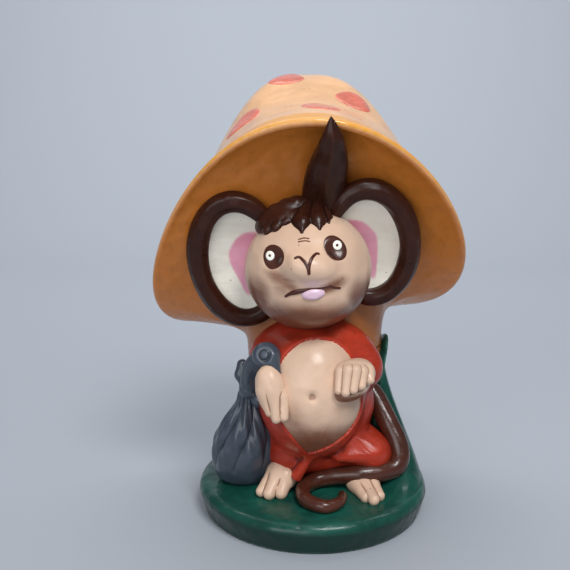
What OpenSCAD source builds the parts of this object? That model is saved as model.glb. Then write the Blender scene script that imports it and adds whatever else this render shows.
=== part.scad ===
// Painted ceramic ornament: a big-eared creature in a red robe sits under a spotted mushroom.
// It holds a tied sack, and its tail curls round its feet on a green plinth.
// Units are millimetres. +Z is up and the figure faces -Y. The origin is the centre of the
// plinth's underside, on the axis of its drain hole. Left and right are the creature's own.

/* [Casting] */
// Thickness of the cast wall
wall = 4; // [3:0.5:5]

/* [Plinth] */
// Radius of the plinth where it meets the table
foot_r = 45.3; // [44:0.1:46]
// Radius of the plinth at its widest, just below the deck
plinth_r = 47.2; // [46:0.1:48]
// Height of the plinth's deck above the table
plinth_h = 12; // [11:0.5:13]
// Radius of the drain hole in the underside
drain_r = 8; // [6:0.5:10]

/* [Stalk] */
// Half the stalk's width, from side to side
stalk_rx = 28.5; // [27:0.5:30]
// Half the stalk's depth, from front to back
stalk_ry = 22; // [21:0.5:23]

/* [Cap] */
// Half the cap's width at the brim
brim_rx = 63.5; // [60:0.5:66]
// Half the cap's depth at the brim
brim_ry = 45; // [43:0.5:48]
// Height of the lifted front edge of the brim
brim_front_z = 157; // [154:0.5:160]
// Height of the back edge of the brim
brim_back_z = 77; // [75:0.5:80]
// How far the brim droops on the creature's right
brim_droop = 18; // [6:0.5:20]
// Height of the crown's top
crown_z = 176; // [172:0.5:180]
// Radius of a red spot on the crown
spot_r = 7; // [5:0.5:8]

/* [Head] */
// Half the head's width
head_rx = 24.2; // [23:0.1:25]
// Half the head's height
head_rz = 23.2; // [22:0.1:24]
// Lean of the head and ears towards the creature's right, in degrees
head_lean = 8; // [4:1:10]
// Radius of the hair roll round each ear
roll_r = 4.1; // [3.5:0.1:4.5]

/* [Body] */
// Half the belly's width
belly_rx = 19.5; // [18:0.5:20]
// Radius of the tail at its root
tail_r = 4.3; // [3.8:0.1:4.6]

/* [Hidden] */

peach = "#dcbca0";
brown = "#3a211c";
orange = "#dd9544";
red = "#b93c24";
green = "#12543f";
slate = "#454f5e";
cream = "#e2dfcb";

deck_fillet = 4;
stalk_xy = [1, 15];
neck_z = 64;
brim_xy = [-2, 7];
brim_lip = 3;
crown_xy = [-3.3, 24];
head_at = [-2.7, -13.5, 101];
head_ry = 24;
left_ear_at = [20.6, -12, 109.8];
right_ear_at = [-30, -12, 104.3];
ear_half = [16.4, 22.8];
ear_tilt = 16;
belly_at = [-1, -17, 53.5];

// Lists that set the robe's section at each height: height, centre x, half width, front y, back y.
robe_sections = [
    [12, 6, 24, -10, 15], [18, 6, 26, -14, 15], [26, 5.5, 26.5, -18, 13], [35, 3, 23.5, -20.5, 10],
    [45, 1.5, 23, -22.5, 8], [53, 1, 24.8, -24, 8], [61, 0.5, 26.6, -25.5, 7], [68, -0.5, 26.2, -26, 7],
    [74, -0.7, 23, -25.5, 6], [79, -1, 16, -23, 4]
];
tail_path = [
    [25, 3, 46], [28.3, -1.5, 40.5], [31.4, -5.6, 34.6], [34.1, -9, 29], [34.9, -11.4, 24.2],
    [33.4, -13.4, 20.8], [30, -15, 19.5], [25.4, -16.8, 19.2], [20.4, -17.8, 19.2], [14.6, -17.4, 18.7],
    [7.6, -16.3, 17.5], [0.8, -17.4, 16.3], [-3.3, -21.4, 15.7], [-4.6, -26.6, 15.3], [-2.9, -32.7, 15],
    [3.2, -36.6, 14.7], [8.2, -33.6, 14.3], [10.5, -28, 13.9], [10.8, -23, 13.5]
];

// ---------------------------------------------------------------------------------------------
// Helpers

function mix(a, b, t) = a + (b - a) * t;
function ease(t) = t * t * (3 - 2 * t);
function unit(v) = v / norm(v);

// A closed solid through a stack of rings that all have the same number of points. Each ring runs
// anticlockwise when seen from the finish, and the ends close on the points start and finish.
module skin(start, rings, finish) {
    n = len(rings[0]);
    m = len(rings);
    last = m * n + 1;
    sides = [for (i = [0:m - 2], j = [0:n - 1])
        let (k = (j + 1) % n, a = 1 + i * n)
        each [[a + j, a + n + j, a + n + k], [a + j, a + n + k, a + k]]];
    foot = [for (j = [0:n - 1]) [0, 1 + j, 1 + (j + 1) % n]];
    head = [for (j = [0:n - 1]) [last, last - n + (j + 1) % n, last - n + j]];
    polyhedron([start, for (r = rings) each r, finish], concat(sides, foot, head));
}

// An ellipsoid with the given half sizes.
module ellipsoid(at, half, sides = 20, rows = 9) {
    rings = [for (i = [1:rows]) let (lat = -90 + 180 * i / (rows + 1))
        [for (j = [0:sides - 1]) let (a = 360 * j / sides)
            at + [half.x * cos(lat) * cos(a), half.y * cos(lat) * sin(a), half.z * sin(lat)]]];
    skin(at - [0, 0, half.z], rings, at + [0, 0, half.z]);
}

// A round tube along a path, with its own radius at each point and a rounded start and finish.
// flat squeezes it along the direction that up sets.
module tube(path, radii, up = [0, 0, 1], flat = 1, sides = 10) {
    n = len(path);
    dirs = [for (i = [0:n - 1]) unit(path[min(i + 1, n - 1)] - path[max(i - 1, 0)])];
    rings = [for (i = [0:n - 1])
        let (side = unit(cross(up, dirs[i])), over = cross(dirs[i], side))
        [for (j = [0:sides - 1]) let (a = 360 * j / sides)
            path[i] + radii[i] * (cos(a) * side + flat * sin(a) * over)]];
    skin(path[0] - dirs[0] * radii[0] * 0.6, rings, path[n - 1] + dirs[n - 1] * radii[n - 1] * 0.6);
}

// ---------------------------------------------------------------------------------------------
// Plinth, grass bank and stalk

module plinth() {
    color(green) difference() {
        rotate_extrude($fn = 96) union() {
            polygon([[0, 0], [foot_r - 1, 0], [foot_r, 1], [plinth_r, plinth_h - deck_fillet], [0, plinth_h - deck_fillet]]);
            square([plinth_r - deck_fillet, plinth_h]);
            translate([plinth_r - deck_fillet, plinth_h - deck_fillet]) circle(deck_fillet, $fn = 48);
        }
        translate([0, 0, wall]) cylinder(h = plinth_h - 1.75 * wall, r = foot_r - wall, $fn = 96);
        translate([0, 0, -1]) cylinder(h = wall + 2, r = drain_r, $fn = 64);
        translate([0, 0, wall]) linear_extrude(plinth_h) translate(stalk_xy)
            circle(stalk_ry - wall - 4, $fn = 64);
    }
}

// Everything below the deck, for the pieces that stand on it.
module deck_cut() {
    translate([-60, -60, 0]) cube([120, 120, plinth_h]);
}

function oval(at, rx, ry, z, n) =
    [for (j = [0:n - 1]) let (a = 360 * j / n) [at.x + rx * cos(a), at.y + ry * sin(a), z]];

// The stalk is slightly waisted. inset gives the inside of the casting.
module stalk_form(inset = 0, low = plinth_h, high = neck_z) {
    zs = [low, 26, 40, 54, high];
    waist = [0, 0.6, 1.1, 0.7, 0];
    rings = [for (i = [0:4]) oval(stalk_xy, stalk_rx - waist[i] - inset, stalk_ry - waist[i] - inset, zs[i], 40)];
    skin([stalk_xy.x, stalk_xy.y, low], rings, [stalk_xy.x, stalk_xy.y, high]);
}

module stalk() {
    color(orange) difference() {
        stalk_form();
        stalk_form(wall, plinth_h - 1, neck_z + 1);
    }
}

// The grass bank sweeps up from the deck to a wavy edge that hugs the stalk. It is low in front and
// on the right, where the creature and its sack are. a is the angle round the stalk, with 0 towards
// +X and 90 at the back.
function bank_swell(a) = ease(min(1, max(0, 1.3 * sin(a + 30) + 0.45)));
function bank_top(a) = 14 + (50 + 3.2 * sin(5 * a + 65)) * bank_swell(a);
function bank_rim(a) =
    let (d = [cos(a), sin(a)], b = d * stalk_xy, r = plinth_r - deck_fillet)
    sqrt(max(1, b * b - stalk_xy * stalk_xy + r * r)) - b;
function bank_point(a, t) =
    let (top = bank_top(a),
         inner = norm([stalk_rx * cos(a), stalk_ry * sin(a)]) + 1.6,
         outer = mix(inner + 0.5, max(bank_rim(a), inner + 0.5), min(1, 4 * bank_swell(a))),
         r = mix(outer, inner, mix(ease(min(1, t / 0.9)), 1 - (1 - t) ^ 2.2, 0.4)))
    [stalk_xy.x + r * cos(a), stalk_xy.y + r * sin(a), mix(plinth_h, top, t)];

module bank_form(steps = 8, n = 48) {
    rings = [for (i = [0:steps]) [for (j = [0:n - 1]) bank_point(360 * j / n, i / steps)]];
    difference() {
        skin([stalk_xy.x, stalk_xy.y, plinth_h], rings, [stalk_xy.x, stalk_xy.y, plinth_h + 4]);
        stalk_form(0, plinth_h - 1, neck_z + 5);
    }
}

module grass_bank() {
    color(green) bank_form();
}

// ---------------------------------------------------------------------------------------------
// Cap. a is the angle round the brim, with 0 at the front and 90 on the creature's left.

function brim_z(a) = brim_back_z + (brim_front_z - brim_back_z) * ((1 + cos(a)) / 2) ^ 1.9
    - brim_droop * 0.63 * max(0, -sin(a)) ^ 1.6 * (1 - ((1 + cos(a)) / 2) ^ 3.6);
function brim(a, inset = 0) =
    [brim_xy.x + (brim_rx - inset) * sin(a), brim_xy.y - (brim_ry - inset) * cos(a), brim_z(a)];

// From the brim, t = 0, up to the crown's top, t = 1. The brim flares out from under a dome. Its
// front is flatter than the rest, and the back is rounder.
function cap_top(a, t, inset = 0) =
    let (r = 1 - t,
         bell = r ^ 3 * (3.4 - 2.4 * r),
         ball = 1 - sqrt(1 - r * r),
         step = 0.62 * ease(min(1, r / 0.62)) + 0.38 * r ^ 2.5,
         drop = mix(mix(bell, ball, ((1 - cos(a)) / 2) ^ 3), step, ((1 + cos(a)) / 2) ^ 8),
         top = crown_z - inset,
         from = brim(a, inset))
    [mix(crown_xy.x, from.x, r), mix(crown_xy.y, from.y, r), mix(top, from.z, drop)];

// From the brim, t = 0, in and down to the neck, t = 1.
function cap_under(a, t, inset = 0) =
    let (q = 1 - (1 - t) ^ 2.2, from = brim(a, inset + brim_lip * 0.6))
    [mix(from.x, stalk_xy.x + (stalk_rx - inset) * sin(a), q),
     mix(from.y, stalk_xy.y - (stalk_ry - inset) * cos(a), q),
     mix(from.z - brim_lip + inset, neck_z, t ^ 2)];

module cap_form(inset = 0, foot = neck_z, n = 48, under_steps = 9, top_steps = 10) {
    ring = function(i) [for (j = [0:n - 1]) let (a = 360 * j / n)
        i < 0 ? cap_under(a, -i / under_steps, inset) : cap_top(a, i / top_steps, inset)];
    neck = [for (p = ring(-under_steps)) [p.x, p.y, foot]];
    rings = concat(foot < neck_z ? [neck] : [], [for (i = [under_steps:-1:1]) ring(-i)],
        [for (i = [0:top_steps - 1]) ring(i)]);
    skin([stalk_xy.x, stalk_xy.y, foot], rings, [crown_xy.x, crown_xy.y, crown_z - inset]);
}

module cap() {
    color(orange) difference() {
        cap_form();
        cap_form(wall * 1.15, neck_z - 1, 36, 7, 8);
    }
}

// Where each spot sits: the angle round the brim and how far up towards the crown's top.
spots = [
    [40, 0.56], [5, 0.33], [-48, 0.83], [-44, 0.43], [92, 0.36], [-128, 0.66], [128, 0.74],
    [-108, 0.28], [112, 0.22], [178, 0.5], [-152, 0.24], [150, 0.28]
];

module crown_spots() {
    lift = 0.7;
    color(red) difference() {
        union() for (s = spots) {
            at = cap_top(s[0], s[1]);
            across = cap_top(s[0] + 2, s[1]) - cap_top(s[0] - 2, s[1]);
            up = cap_top(s[0], s[1] + 0.02) - cap_top(s[0], s[1] - 0.02);
            out = unit(cross(across, up));
            translate(at) multmatrix([for (i = [0:2]) [unit(across)[i], cross(out, unit(across))[i], out[i], 0]])
                ellipsoid([0, 0, -1.2], [spot_r * 1.05, spot_r * 1.05, 1.2 + lift + 0.6], 20, 5);
        }
        cap_form();
    }
}

// ---------------------------------------------------------------------------------------------
// Robe and belly

function robe_ring(s, n, inset = 0) = [for (j = [0:n - 1]) let (a = 360 * j / n, mid = (s[3] + s[4]) / 2)
    [s[1] + (s[2] - inset) * cos(a), mid + ((s[4] - s[3]) / 2 - inset) * sin(a), s[0]]];

module robe_form() {
    rings = [for (s = robe_sections) robe_ring(s, 32)];
    union() {
        skin([6, 0, 12], rings, [-1, -12, 82]);
        ellipsoid([22.5, -7, 23], [10, 10, 10]);
        ellipsoid([-8, -6, 20.8], [11, 9, 8.8]);
    }
}

module robe() {
    color(red) difference() {
        robe_form();
        stalk_form();
        ellipsoid([1, -6, 45], [belly_rx - 1, 14, 27]);
        belly_form();
        tail_form();
        bank_form();
    }
}

module belly_form() {
    ellipsoid(belly_at, [belly_rx, 19.5, 25.5], 28, 13);
}

module belly() {
    color(peach) difference() {
        intersection() {
            belly_form();
            translate([-30, -60, 20]) cube([60, 44, 70]);
        }
        translate([-1.3, -38.2, 54.5]) sphere(1.5, $fn = 24);
    }
}

// ---------------------------------------------------------------------------------------------
// Head. Face pieces sit on the head's front surface, at face(x, z).

function face(x, z, out = 0) = let (dx = (x - head_at.x) / head_rx, dz = (z - head_at.z) / head_rz)
    [x, head_at.y - head_ry * sqrt(max(0.02, 1 - dx * dx - dz * dz)) - out, z];

muzzle_at = [-2.8, -32, 102];
muzzle_half = [11, 9.5, 9];

module head_form() {
    ellipsoid(head_at, [head_rx, head_ry, head_rz], 32, 15);
    ellipsoid(muzzle_at, muzzle_half, 20, 9);
}

module head() {
    color(peach) difference() {
        head_form();
        ellipsoid(head_at + [0, 4, 0], [head_rx, head_ry + 2, head_rz] - wall * [1, 1, 1], 24, 11);
        stalk_form();
        cap_form();
        robe_form();
    }
}

// Puts its children on the face at (x, z), with their -Y along the way out of the head.
module on_face(x, z) {
    lat = asin((z - head_at.z) / head_rz);
    turn = asin((x - head_at.x) / (head_rx * cos(lat)));
    translate(face(x, z)) rotate([0, 0, turn]) rotate([-lat, 0, 0]) children();
}

module eye_patch_form(x, z, lean) {
    on_face(x, z) rotate([0, lean, 0]) ellipsoid([0, 0, 0], [4, 1.5, 5], 20, 7);
}

module left_eye_patch_form() {
    eye_patch_form(6.2, 111.8, -24);
}

module right_eye_patch_form() {
    eye_patch_form(-16, 108.6, 14);
}

module eyeball(x, z) {
    color(cream) on_face(x, z) ellipsoid([0, -1.1, 0], [1.9, 1.1, 2.1], 16, 7);
}

module left_eye_patch() {
    color(brown) difference() {
        left_eye_patch_form();
        head_form();
    }
}

module right_eye_patch() {
    color(brown) difference() {
        right_eye_patch_form();
        head_form();
    }
}

module left_eyeball() {
    difference() {
        eyeball(6.4, 112.3);
        left_eye_patch_form();
        head_form();
    }
}

module right_eyeball() {
    difference() {
        eyeball(-16.4, 109);
        right_eye_patch_form();
        head_form();
    }
}

module nose_line() {
    color(brown) difference() {
        union() {
            tube([[-8.2, -39.6, 107.6], [-5.6, -40.9, 107.4], [-3.4, -41.4, 105.2], [-3.1, -41.6, 102.6]],
                [0.6, 0.6, 0.7, 0.6], [0, 1, 0], 1, 8);
            tube([[0.4, -39.3, 108.6], [-1.4, -40.6, 107.6], [-3.2, -41.3, 105]], [0.6, 0.6, 0.6], [0, 1, 0], 1, 8);
        }
        head_form();
    }
}

module mouth_line() {
    color(brown) difference() {
        tube([[-11.6, -36, 92.6], [-8.4, -37.4, 94.4], [-3, -38.6, 95.2], [2.6, -38, 96.4], [8.4, -36, 96]],
            [0.4, 0.8, 0.9, 0.8, 0.4], [0, 1, 0], 1.6, 8);
        head_form();
        lower_lip();
    }
}

module lower_lip() {
    color("pink") difference() {
        translate([-2, -38.4, 94]) rotate([0, -8, 0]) ellipsoid([0, 0, 0], [4.2, 2.2, 1.8], 16, 7);
        head_form();
    }
}

// ---------------------------------------------------------------------------------------------
// Ears and hair

// Places its children in an ear's own frame: x across, z up and y to the back.
module on_ear(at) {
    translate(at) rotate([ear_tilt, -head_lean, 0]) children();
}

// A shallow dish whose hollow faces forwards.
module ear_dish(at, n = 24) {
    dish = function(r, back) [for (j = [0:n - 1]) let (a = 360 * j / n)
        [r * ear_half.x * cos(a), (1 - r * r) * 3.2 + back, -r * ear_half.y * sin(a)]];
    rings = concat([for (r = [0.35, 0.7, 1]) dish(r, 0)], [for (r = [1, 0.7, 0.35]) dish(r, 3)]);
    on_ear(at) skin([0, 3.2, 0], rings, [0, 6.2, 0]);
}

module ear(at) {
    color(cream) difference() {
        ear_dish(at);
        head_form();
        cap_form();
        stalk_form();
        robe_form();
    }
}

module left_ear() {
    ear(left_ear_at);
}

module right_ear() {
    ear(right_ear_at);
}

// The roll runs round the ear from the angle first to the angle last, and thins at both ends.
module hair_roll_form(at, first, last) {
    steps = 22;
    path = [for (i = [0:steps]) let (a = mix(first, last, i / steps))
        [(ear_half.x - 1) * cos(a), 0.6, (ear_half.y - 0.6) * sin(a)]];
    radii = [for (i = [0:steps]) roll_r * (0.55 + 0.45 * sin(180 * i / steps) ^ 0.5)];
    on_ear(at) tube(path, radii, [0, 1, 0], 1, 12);
}

module hair_roll(at, first, last) {
    color(brown) difference() {
        hair_roll_form(at, first, last);
        head_form();
        ear_dish(at);
        cap_form();
        robe_form();
        stalk_form();
    }
}

module left_hair_roll() {
    hair_roll(left_ear_at, 170, -88);
}

module right_hair_roll() {
    hair_roll(right_ear_at, 10, 276);
}

// Each lock is listed by its foot on the crown of the head, its tip on the forehead and its radius.
locks = [
    [[-19, 124], [-16.5, 116.4], 4.2], [[-13.5, 128], [-13.5, 117.4], 3.2], [[-9.5, 128.6], [-5.8, 117.4], 3.2],
    [[-4.5, 128.8], [1.6, 118], 3.4], [[1, 128], [4.6, 119.6], 3]
];

module fringe() {
    color(brown) difference() {
        union() {
            for (s = locks)
                tube([face(s[0].x, min(s[0].y, 121), -6) + [0, 0, s[0].y - min(s[0].y, 121)],
                    face(mix(s[0].x, s[1].x, 0.5), mix(min(s[0].y, 122), s[1].y, 0.5), 0.2),
                    face(s[1].x, s[1].y, 0.3)], [s[2], s[2], s[2] * 0.35], [0, 1, 0], 0.8, 10);
            ellipsoid([-4.5, -13, 119.6], [19, 15, 8.6], 28, 9);
        }
        head_form();
        cap_form();
        ear_dish(left_ear_at);
        ear_dish(right_ear_at);
        hair_roll_form(left_ear_at, 170, -88);
        hair_roll_form(right_ear_at, 10, 276);
    }
}

module topknot() {
    color(brown) difference() {
        tube([[1.2, -16.5, 129], [3, -19.5, 135], [4, -23, 141.5], [4.2, -28, 148], [3.9, -33, 153]],
            [6.4, 7.2, 7.3, 5.6, 2.6], [0, 1, 0], 0.62, 16);
        cap_form();
        fringe();
    }
}

// ---------------------------------------------------------------------------------------------
// Hands and feet

module right_hand() {
    color(peach) difference() {
        translate([-15.8, -30.5, 57.5]) rotate([8, 14, 0]) ellipsoid([0, 0, 0], [5.9, 5.6, 11], 20, 9);
        belly_form();
        robe_form();
        ruffle_form();
        strap_form();
    }
}

module left_hand() {
    color(peach) difference() {
        union() {
            translate([13, -31, 61.5]) rotate([0, -14, 18]) ellipsoid([0, 0, 0], [9, 6.2, 5.8], 20, 9);
            translate([9.6, -34.5, 58.5]) ellipsoid([0, 0, 0], [5.6, 4.4, 5.6], 16, 7);
        }
        belly_form();
        robe_form();
    }
}

module foot(at, turn) {
    color(peach) difference() {
        translate(at) rotate([14, 0, turn]) ellipsoid([0, 0, 0], [6.4, 11.5, 6], 20, 9);
        deck_cut();
        robe_form();
        tail_form();
        sack_form();
    }
}

module left_foot() {
    foot([22.3, -20, 14.6], 16);
}

module right_foot() {
    foot([-15.8, -17.5, 15.6], -20);
}

module tail_form() {
    n = len(tail_path);
    radii = [for (i = [0:n - 1]) mix(tail_r, 1.3, (i / (n - 1)) ^ 2.2)];
    difference() {
        tube(tail_path, radii, [1, -1, 1], 1, 12);
        deck_cut();
    }
}

module tail() {
    color(brown) difference() {
        tail_form();
        stalk_form();
        bank_form();
    }
}

// ---------------------------------------------------------------------------------------------
// Sack

sack_at = [-28.2, -5.5];

// Half width of the sack at each height.
sack_profile = [[12, 8], [15, 11.6], [20, 13.3], [26, 13.4], [32, 12], [38, 9.4], [43, 6.6], [47, 4.4], [51, 3.5]];

module sack_form() {
    rings = [for (p = sack_profile) let (lean = (p[0] - 12) / 39)
        oval(sack_at + lean * [2, -6], p[1], p[1] * 0.93, p[0], 24)];
    skin([sack_at.x, sack_at.y, 12], rings, [sack_at.x + 2, sack_at.y - 6, 51.5]);
}

module sack() {
    color(slate) difference() {
        sack_form();
        robe_form();
        stalk_form();
        bank_form();
    }
}

module knot_form() {
    ellipsoid([-26, -12.6, 52.6], [3.7, 3.4, 3.7], 14, 7);
    ellipsoid([-22.2, -14.8, 49.6], [3.1, 3, 3.3], 14, 7);
    translate([-28.6, -11, 58]) rotate([0, 8, 0]) ellipsoid([0, 0, 0], [2.7, 3, 5], 14, 7);
}

module strap_form() {
    tube([[-26, -13, 54.5], [-25.6, -16, 59], [-24, -20, 64], [-21.4, -23.5, 68]],
        [3.2, 3.2, 3.4, 3.6], [0, 1, 0], 0.8, 12);
}

module ruffle_form() {
    ellipsoid([-19, -25.5, 71], [5.4, 4.6, 5.2], 18, 9);
    tube([[-17, -27, 70], [-14.6, -29, 67.4], [-13.2, -30, 64]], [3.4, 2.9, 1.2], [0, 1, 0], 0.7, 10);
}

module sack_knot() {
    color(slate) difference() {
        knot_form();
        sack_form();
        robe_form();
    }
}

module sack_strap() {
    color(slate) difference() {
        strap_form();
        robe_form();
        knot_form();
        ruffle_form();
        sack_form();
    }
}

module sack_ruffle() {
    color(slate) difference() {
        ruffle_form();
        robe_form();
        belly_form();
        head_form();
    }
}

// ---------------------------------------------------------------------------------------------

plinth();
grass_bank();
stalk();
cap();
crown_spots();
robe();
belly();
head();
left_ear();
right_ear();
left_hair_roll();
right_hair_roll();
fringe();
topknot();
left_eye_patch();
right_eye_patch();
left_eyeball();
right_eyeball();
nose_line();
mouth_line();
lower_lip();
left_hand();
right_hand();
left_foot();
right_foot();
tail();
sack();
sack_knot();
sack_strap();
sack_ruffle();
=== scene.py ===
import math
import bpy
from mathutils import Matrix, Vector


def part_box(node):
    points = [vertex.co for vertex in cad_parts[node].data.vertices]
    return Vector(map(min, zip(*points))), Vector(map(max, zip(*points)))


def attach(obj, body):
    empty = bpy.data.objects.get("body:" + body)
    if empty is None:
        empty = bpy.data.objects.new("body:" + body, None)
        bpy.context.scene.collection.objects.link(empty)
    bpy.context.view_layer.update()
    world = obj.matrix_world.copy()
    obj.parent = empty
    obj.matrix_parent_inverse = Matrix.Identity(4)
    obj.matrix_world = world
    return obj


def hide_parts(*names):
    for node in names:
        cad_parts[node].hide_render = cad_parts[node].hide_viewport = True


bl_info = {
    "name": "Glazed mushroom figurine",
    "version": (1, 0, 0),
    "blender": (4, 5, 0),
    "location": "3D View > Sidebar > Figurine",
    "description": "A hand-painted ceramic creature under a mushroom cap, built round its packed CAD model",
    "category": "Object",
}

from types import SimpleNamespace

import bpy
import numpy as np
from mathutils import Euler, Vector

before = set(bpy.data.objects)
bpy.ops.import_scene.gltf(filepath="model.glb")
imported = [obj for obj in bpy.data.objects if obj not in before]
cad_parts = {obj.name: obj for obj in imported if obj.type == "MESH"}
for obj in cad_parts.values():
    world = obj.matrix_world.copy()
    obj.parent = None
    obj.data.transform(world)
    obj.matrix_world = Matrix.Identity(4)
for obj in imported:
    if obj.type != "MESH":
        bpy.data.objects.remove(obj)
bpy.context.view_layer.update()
BODY = "root"
MM = 0.001


def cad_box(node):
    """The lowest and highest corner of a CAD node, in millimetres."""
    low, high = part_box(node)
    return np.array(low) / MM, np.array(high) / MM


# ---------------------------------------------------------------------------------------------
# Sizes, in millimetres. +Z is up and the figure faces -Y, with its left towards +X.

PLINTH_HIGH = cad_box("plinth")[1]
STALK_LOW, STALK_HIGH = cad_box("stalk")
CAP_LOW, CAP_HIGH = cad_box("cap")
PLINTH_R = PLINTH_HIGH[0]
FOOT_R = PLINTH_R - 1.9
DECK = PLINTH_HIGH[2]
DRAIN_R = 8.0
WALL = 4.0
STALK_AT = (STALK_LOW[:2] + STALK_HIGH[:2]) / 2
STALK_HALF = (STALK_HIGH[:2] - STALK_LOW[:2]) / 2
NECK = STALK_HIGH[2]
BRIM_AT = (CAP_LOW[:2] + CAP_HIGH[:2]) / 2
BRIM_HALF = (CAP_HIGH[:2] - CAP_LOW[:2]) / 2
CROWN_TOP = CAP_HIGH[2]
CROWN_AT = np.array([-3.3, 24.0])
BRIM_FRONT = 157.0
BRIM_BACK = 77.0
BRIM_DROOP = 18.0
BEAD = 1.7
HEAD_AT = np.array([-2.7, -13.5, 101.0])
HEAD_HALF = np.array([24.2, 24.0, 23.2])
HEAD_LEAN = 8.0
BELLY_AT = np.array([-1.0, -17.0, 53.5])
LEFT_EAR_AT = np.array([20.6, -12.0, 109.8])
RIGHT_EAR_AT = np.array([-28.8, -12.0, 103.4])
EAR_HALF = np.array([16.4, 22.8])
EAR_TILT = 16.0


# ---------------------------------------------------------------------------------------------
# Arrays and fields

def mix(a, b, t):
    """a at t 0, b at t 1, and straight between."""
    return a + (b - a) * t


def ease(low, high, x):
    """0 below low, 1 above high, with a smooth S between."""
    t = np.clip((x - low) / (high - low), 0.0, 1.0)
    return t * t * (3.0 - 2.0 * t)


def unit(v):
    """Vectors scaled to length 1."""
    return v / np.maximum(np.linalg.norm(v, axis=-1, keepdims=True), 1e-9)


def round_angles(count):
    """Angles evenly round a circle, from 0."""
    return 2.0 * np.pi * np.arange(count) / count


def rotation(tilt):
    """The matrix of Euler angles in degrees, about X, then Y, then Z."""
    return np.array(Euler([math.radians(t) for t in tilt]).to_matrix())


def turned(points, tilt):
    """Points turned by Euler angles in degrees."""
    return points @ rotation(tilt).T


def blob(p, at, half, tilt=(0, 0, 0)):
    """About the distance from p to an ellipsoid: k(k - 1) / l, where k is the length of the point
    measured in half sizes and l its length measured in squared half sizes."""
    q = (p - np.asarray(at, float)) @ rotation(tilt)
    half = np.asarray(half, float)
    k = np.linalg.norm(q / half, axis=-1)
    l = np.linalg.norm(q / half**2, axis=-1)
    return k * (k - 1.0) / np.maximum(l, 1e-6)


def rod(p, a, b, ra, rb):
    """Distance from p to a rod from a to b whose radius runs from ra to rb, with round ends."""
    a, b = np.asarray(a, float), np.asarray(b, float)
    along = b - a
    t = np.clip(((p - a) @ along) / (along @ along), 0.0, 1.0)
    return np.linalg.norm(p - a - t[..., None] * along, axis=-1) - mix(ra, rb, t)


def join(a, b, soft):
    """The union of two fields, with a fillet: the smaller, less a parabola where they are close."""
    h = np.maximum(soft - np.abs(a - b), 0.0) / soft
    return np.minimum(a, b) - h * h * soft / 4.0


def carve(a, b, soft):
    """Field a with field b taken away, and its edge rounded."""
    return -join(-a, b, soft)


def joined(fields, soft):
    """The union of several fields, each joined on in turn."""
    total = fields[0]
    for other in fields[1:]:
        total = join(total, other, soft)
    return total


def march(field, origin, rays, reach, steps=44, pace=0.85, nearest=0.3):
    """How far along each ray from the origin the field's outermost wall lies. It starts at reach
    and steps inwards by a share of the field's own value until it settles."""
    t = np.full(rays.shape[:-1], float(reach))
    for _ in range(steps):
        t = np.clip(t - pace * field(origin + rays * t[..., None]), nearest, reach)
    return t


def slope(field, p, step=0.05):
    """The field's outward direction at p, from central differences."""
    sides = [
        field(p + step * axis) - field(p - step * axis)
        for axis in np.eye(3)
    ]
    return unit(np.stack(sides, axis=-1))


def ball_rays(rows, columns, pole, crowd=1.0):
    """Directions on a sphere, as rows of rings round the pole. crowd over 1 packs rings at it."""
    theta = np.pi * (np.arange(1, rows + 1) / (rows + 1)) ** crowd
    phi = round_angles(columns)
    pole = unit(np.asarray(pole, float))
    side = unit(np.cross([0.3, 0.2, 1.0] if abs(pole[2]) < 0.9 else [1.0, 0.1, 0.0], pole))
    over = np.cross(pole, side)
    ring = np.cos(phi)[:, None] * side + np.sin(phi)[:, None] * over
    return np.sin(theta)[:, None, None] * ring + np.cos(theta)[:, None, None] * pole, pole


def smooth_path(points, count):
    """A Catmull-Rom curve through the points, sampled evenly in its parameter."""
    points = np.asarray(points, float)
    padded = np.vstack([2 * points[0] - points[1], points, 2 * points[-1] - points[-2]])
    t = np.linspace(0.0, len(points) - 1.0, count)
    i = np.minimum(t.astype(int), len(points) - 2)
    f = (t - i)[:, None]
    a, b, c, d = padded[i], padded[i + 1], padded[i + 2], padded[i + 3]
    return b + 0.5 * f * (c - a + f * (2 * a - 5 * b + 4 * c - d + f * (3 * (b - c) + d - a)))


def round_ends(path, radii, sharp=1.0):
    """The radii with each end drawn in to a dome as deep as the radius there, over sharp."""
    steps = np.linalg.norm(np.diff(path, axis=0), axis=1)
    along = np.concatenate([[0.0], np.cumsum(steps)])
    left = np.minimum(along, along[-1] - along) / np.maximum(radii / sharp, 1e-6)
    return radii * np.sqrt(np.clip(1.0 - (1.0 - np.clip(left, 0.0, 1.0)) ** 2, 0.003, 1.0))


def sweep(path, wide, up, tall=None, sides=48, shape=None):
    """Rings along a path. Each is an ellipse, wide across and tall along up, and shape scales it
    by a function of the angle round the ring and the fraction along the path."""
    tall = wide if tall is None else tall
    ahead = unit(np.gradient(path, axis=0))
    side = unit(np.cross(np.asarray(up, float), ahead))
    over = np.cross(ahead, side)
    phi = round_angles(sides)
    scale = 1.0 if shape is None else shape(phi[None, :], np.linspace(0, 1, len(path))[:, None])
    x = (wide[:, None] * np.cos(phi) * scale)[..., None]
    y = (tall[:, None] * np.sin(phi) * scale)[..., None]
    return path[:, None, :] + x * side[:, None, :] + y * over[:, None, :]


# ---------------------------------------------------------------------------------------------
# Meshes

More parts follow.
